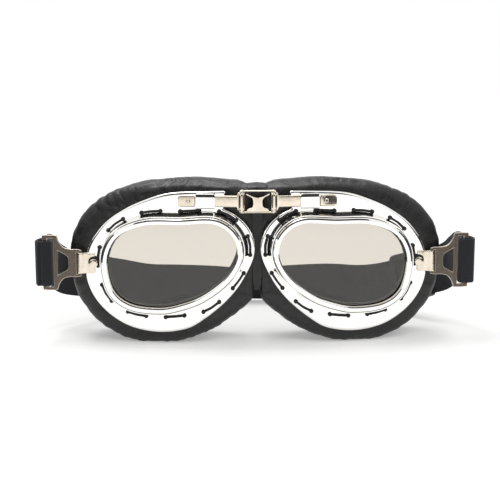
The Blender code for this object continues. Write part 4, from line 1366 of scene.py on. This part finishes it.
def strap_piece(route, ups, outs, place, half_width=strap_half):
    """A stretch of strap with its place on the cloth: its run along the route and its way
    round the section."""
    places = band(route, ups, outs, half_width, strap_thick, face_points=strap_face_points)
    closed = np.concatenate([places, places[:, :1]], 1)
    girth = np.linalg.norm(np.diff(closed, axis=1), axis=2).mean(0)
    girth = np.concatenate([[0.0], np.cumsum(girth)])
    layout = np.stack(np.meshgrid(run_of(route), girth, indexing="ij"), -1) * mm
    return skin(place(places), layout=layout)


loop_route = smooth_curve(
    np.asarray(loop_shares) * (loop_width, loop_depth) + (clip_axis + slot_middle, 0.0), False, 8
)
share = np.linspace(0, 1, len(loop_route))
folds = np.exp(-((share - fold_middle) / fold_spread) ** 2)
folds = np.sin(share * 2 * math.pi * fold_count) * folds


def strap_loop(side):
    """The fold round the clip of one side, with its ripples in depth."""
    route = loop_route + np.outer(folds * fold_rise[side > 0], (0.0, 1.0))
    return strap_piece(*standing(route, lens_middle - loop_drop),
                       lambda places: on_cup(side, places), loop_half)


both("strap_loop_*_band", strap_loop, elastic, "clip_*", "strap_loop_*")

tail = (loop_shares[0][0] + loop_shares[-1][0]) / 2 * loop_width
along_tail = clip_axis + slot_middle + tail
start_x = hinge_offset + along_tail * math.cos(wrap_angle) - loop_depth * math.sin(wrap_angle)
start_y = along_tail * math.sin(wrap_angle) + loop_depth * math.cos(wrap_angle)
drop = lens_middle - strap_half - strap_lift
shares = np.asarray(strap_shares)
points = shares * (start_x, strap_reach - start_y, drop) + (0.0, start_y, strap_lift)
lean = strap_lean * np.clip(1 - shares[:, 0] / shares[lean_row, 0], 0, 1)
points[:, 2] += strap_half * np.cos(lean)
whole = np.vstack([points, points[-2:-3:-1] * (-1, 1, 1)])
count = (len(points) - 1) * strap_steps + 1
curve = smooth_curve(whole, False, strap_steps)[:count + 1]
along = unit(np.gradient(curve, axis=0)[:count])
curve = curve[:count]
tilt = np.interp(np.arange(count) / strap_steps, np.arange(len(points)), lean)[:, None]
level = unit(np.stack([along[:, 1], -along[:, 0], np.zeros(count)], 1))
square = np.cross(level, along)
ups = square * np.cos(tilt) - level * np.sin(tilt)
outs = level * np.cos(tilt) + square * np.sin(tilt)

cuts = [np.searchsorted(run_of(curve), value) for value in strap_cuts]
for side, word in sides:
    mirror = np.array((side, 1, 1))
    for k, bodies in enumerate((("clip_*", "cup_*"), ("cup_*", "tab_*"), ("tab_*", "link"))):
        part = slice(cuts[k], cuts[k + 1] + 1)
        mesh = strap_piece(*(each[part] * mirror for each in (curve, ups, outs)), on_pair)
        stretch = add_piece("strap_side_" + word + "_" + "abc"[k], mesh, elastic, "",
                            "strap_side_" + word)
        blend(stretch, bodies, word)
back = [
    np.vstack([each[cuts[3]:], each[cuts[3]:-1][::-1] * (-1, 1, 1)])
    for each in (curve, ups, outs)
]
for centre, spread, rise in strap_waves:
    back[0][:, 2] += rise * np.exp(-(((back[0][:, 0] / start_x - centre) / spread) ** 2))
add_piece("strap_back_band", strap_piece(*back, on_pair), elastic, "link",
          "strap_back")

# ---------------------------------------------------------------------------------------------
# Slider: a moulded three-bar buckle that sets the strap's length. The strap runs through it, and
# it hangs behind the right cup.

slider_centre = (93.097, 10.373, 24.997)
slider_along = (-0.60936, 0.72706, -0.31634)
slider_up = (-0.2032, 0.24245, 0.94865)
slider_out = (0.7664, 0.6423, 0.0)
slider_length = 26.4
slider_tall = 28.4
slider_corner = 4.0
slider_thick = 2.45
slider_pass = (0.95, 12.6)
slider_window = 11.0
slider_bar = 3.0
slider_punch = 5.0
slider_edge = 0.5
half_long, half_tall = slider_length / 2, slider_tall / 2


def slider_solid(outline, low, high):
    """An outline along the strap and up, carried outwards from low to high, in the shared
    frame."""
    places = np.array([ring(outline, low), ring(outline, high)])
    turned_places = places @ np.array((slider_along, slider_out, slider_up))
    return skin((turned_places + slider_centre) * mm)


def slider_corners(low, high, half):
    """The corners of a rectangle from low to high along the strap."""
    return [(low, -half), (high, -half), (high, half), (low, half)]


body = rounded(slider_corners(-half_long, half_long, half_tall), slider_corner, steps=8)
far = half_long + 1
tools = [slider_solid(slider_corners(-far, far, slider_pass[1]), -slider_pass[0], slider_pass[0])]
tools += [
    slider_solid(slider_corners(*sorted((sign * slider_bar / 2, sign * (half_long - slider_bar))),
                                slider_window), -slider_punch, slider_punch)
    for sign in (-1, 1)
]
slider = add_piece(
    "strap_slider_moulding",
    bevelled(carved(slider_solid(body, -slider_thick, slider_thick), tools), slider_edge),
    abs_black, "slider", "strap_slider",
)
slider.modifiers.new("flats", "WEIGHTED_NORMAL").keep_sharp = False
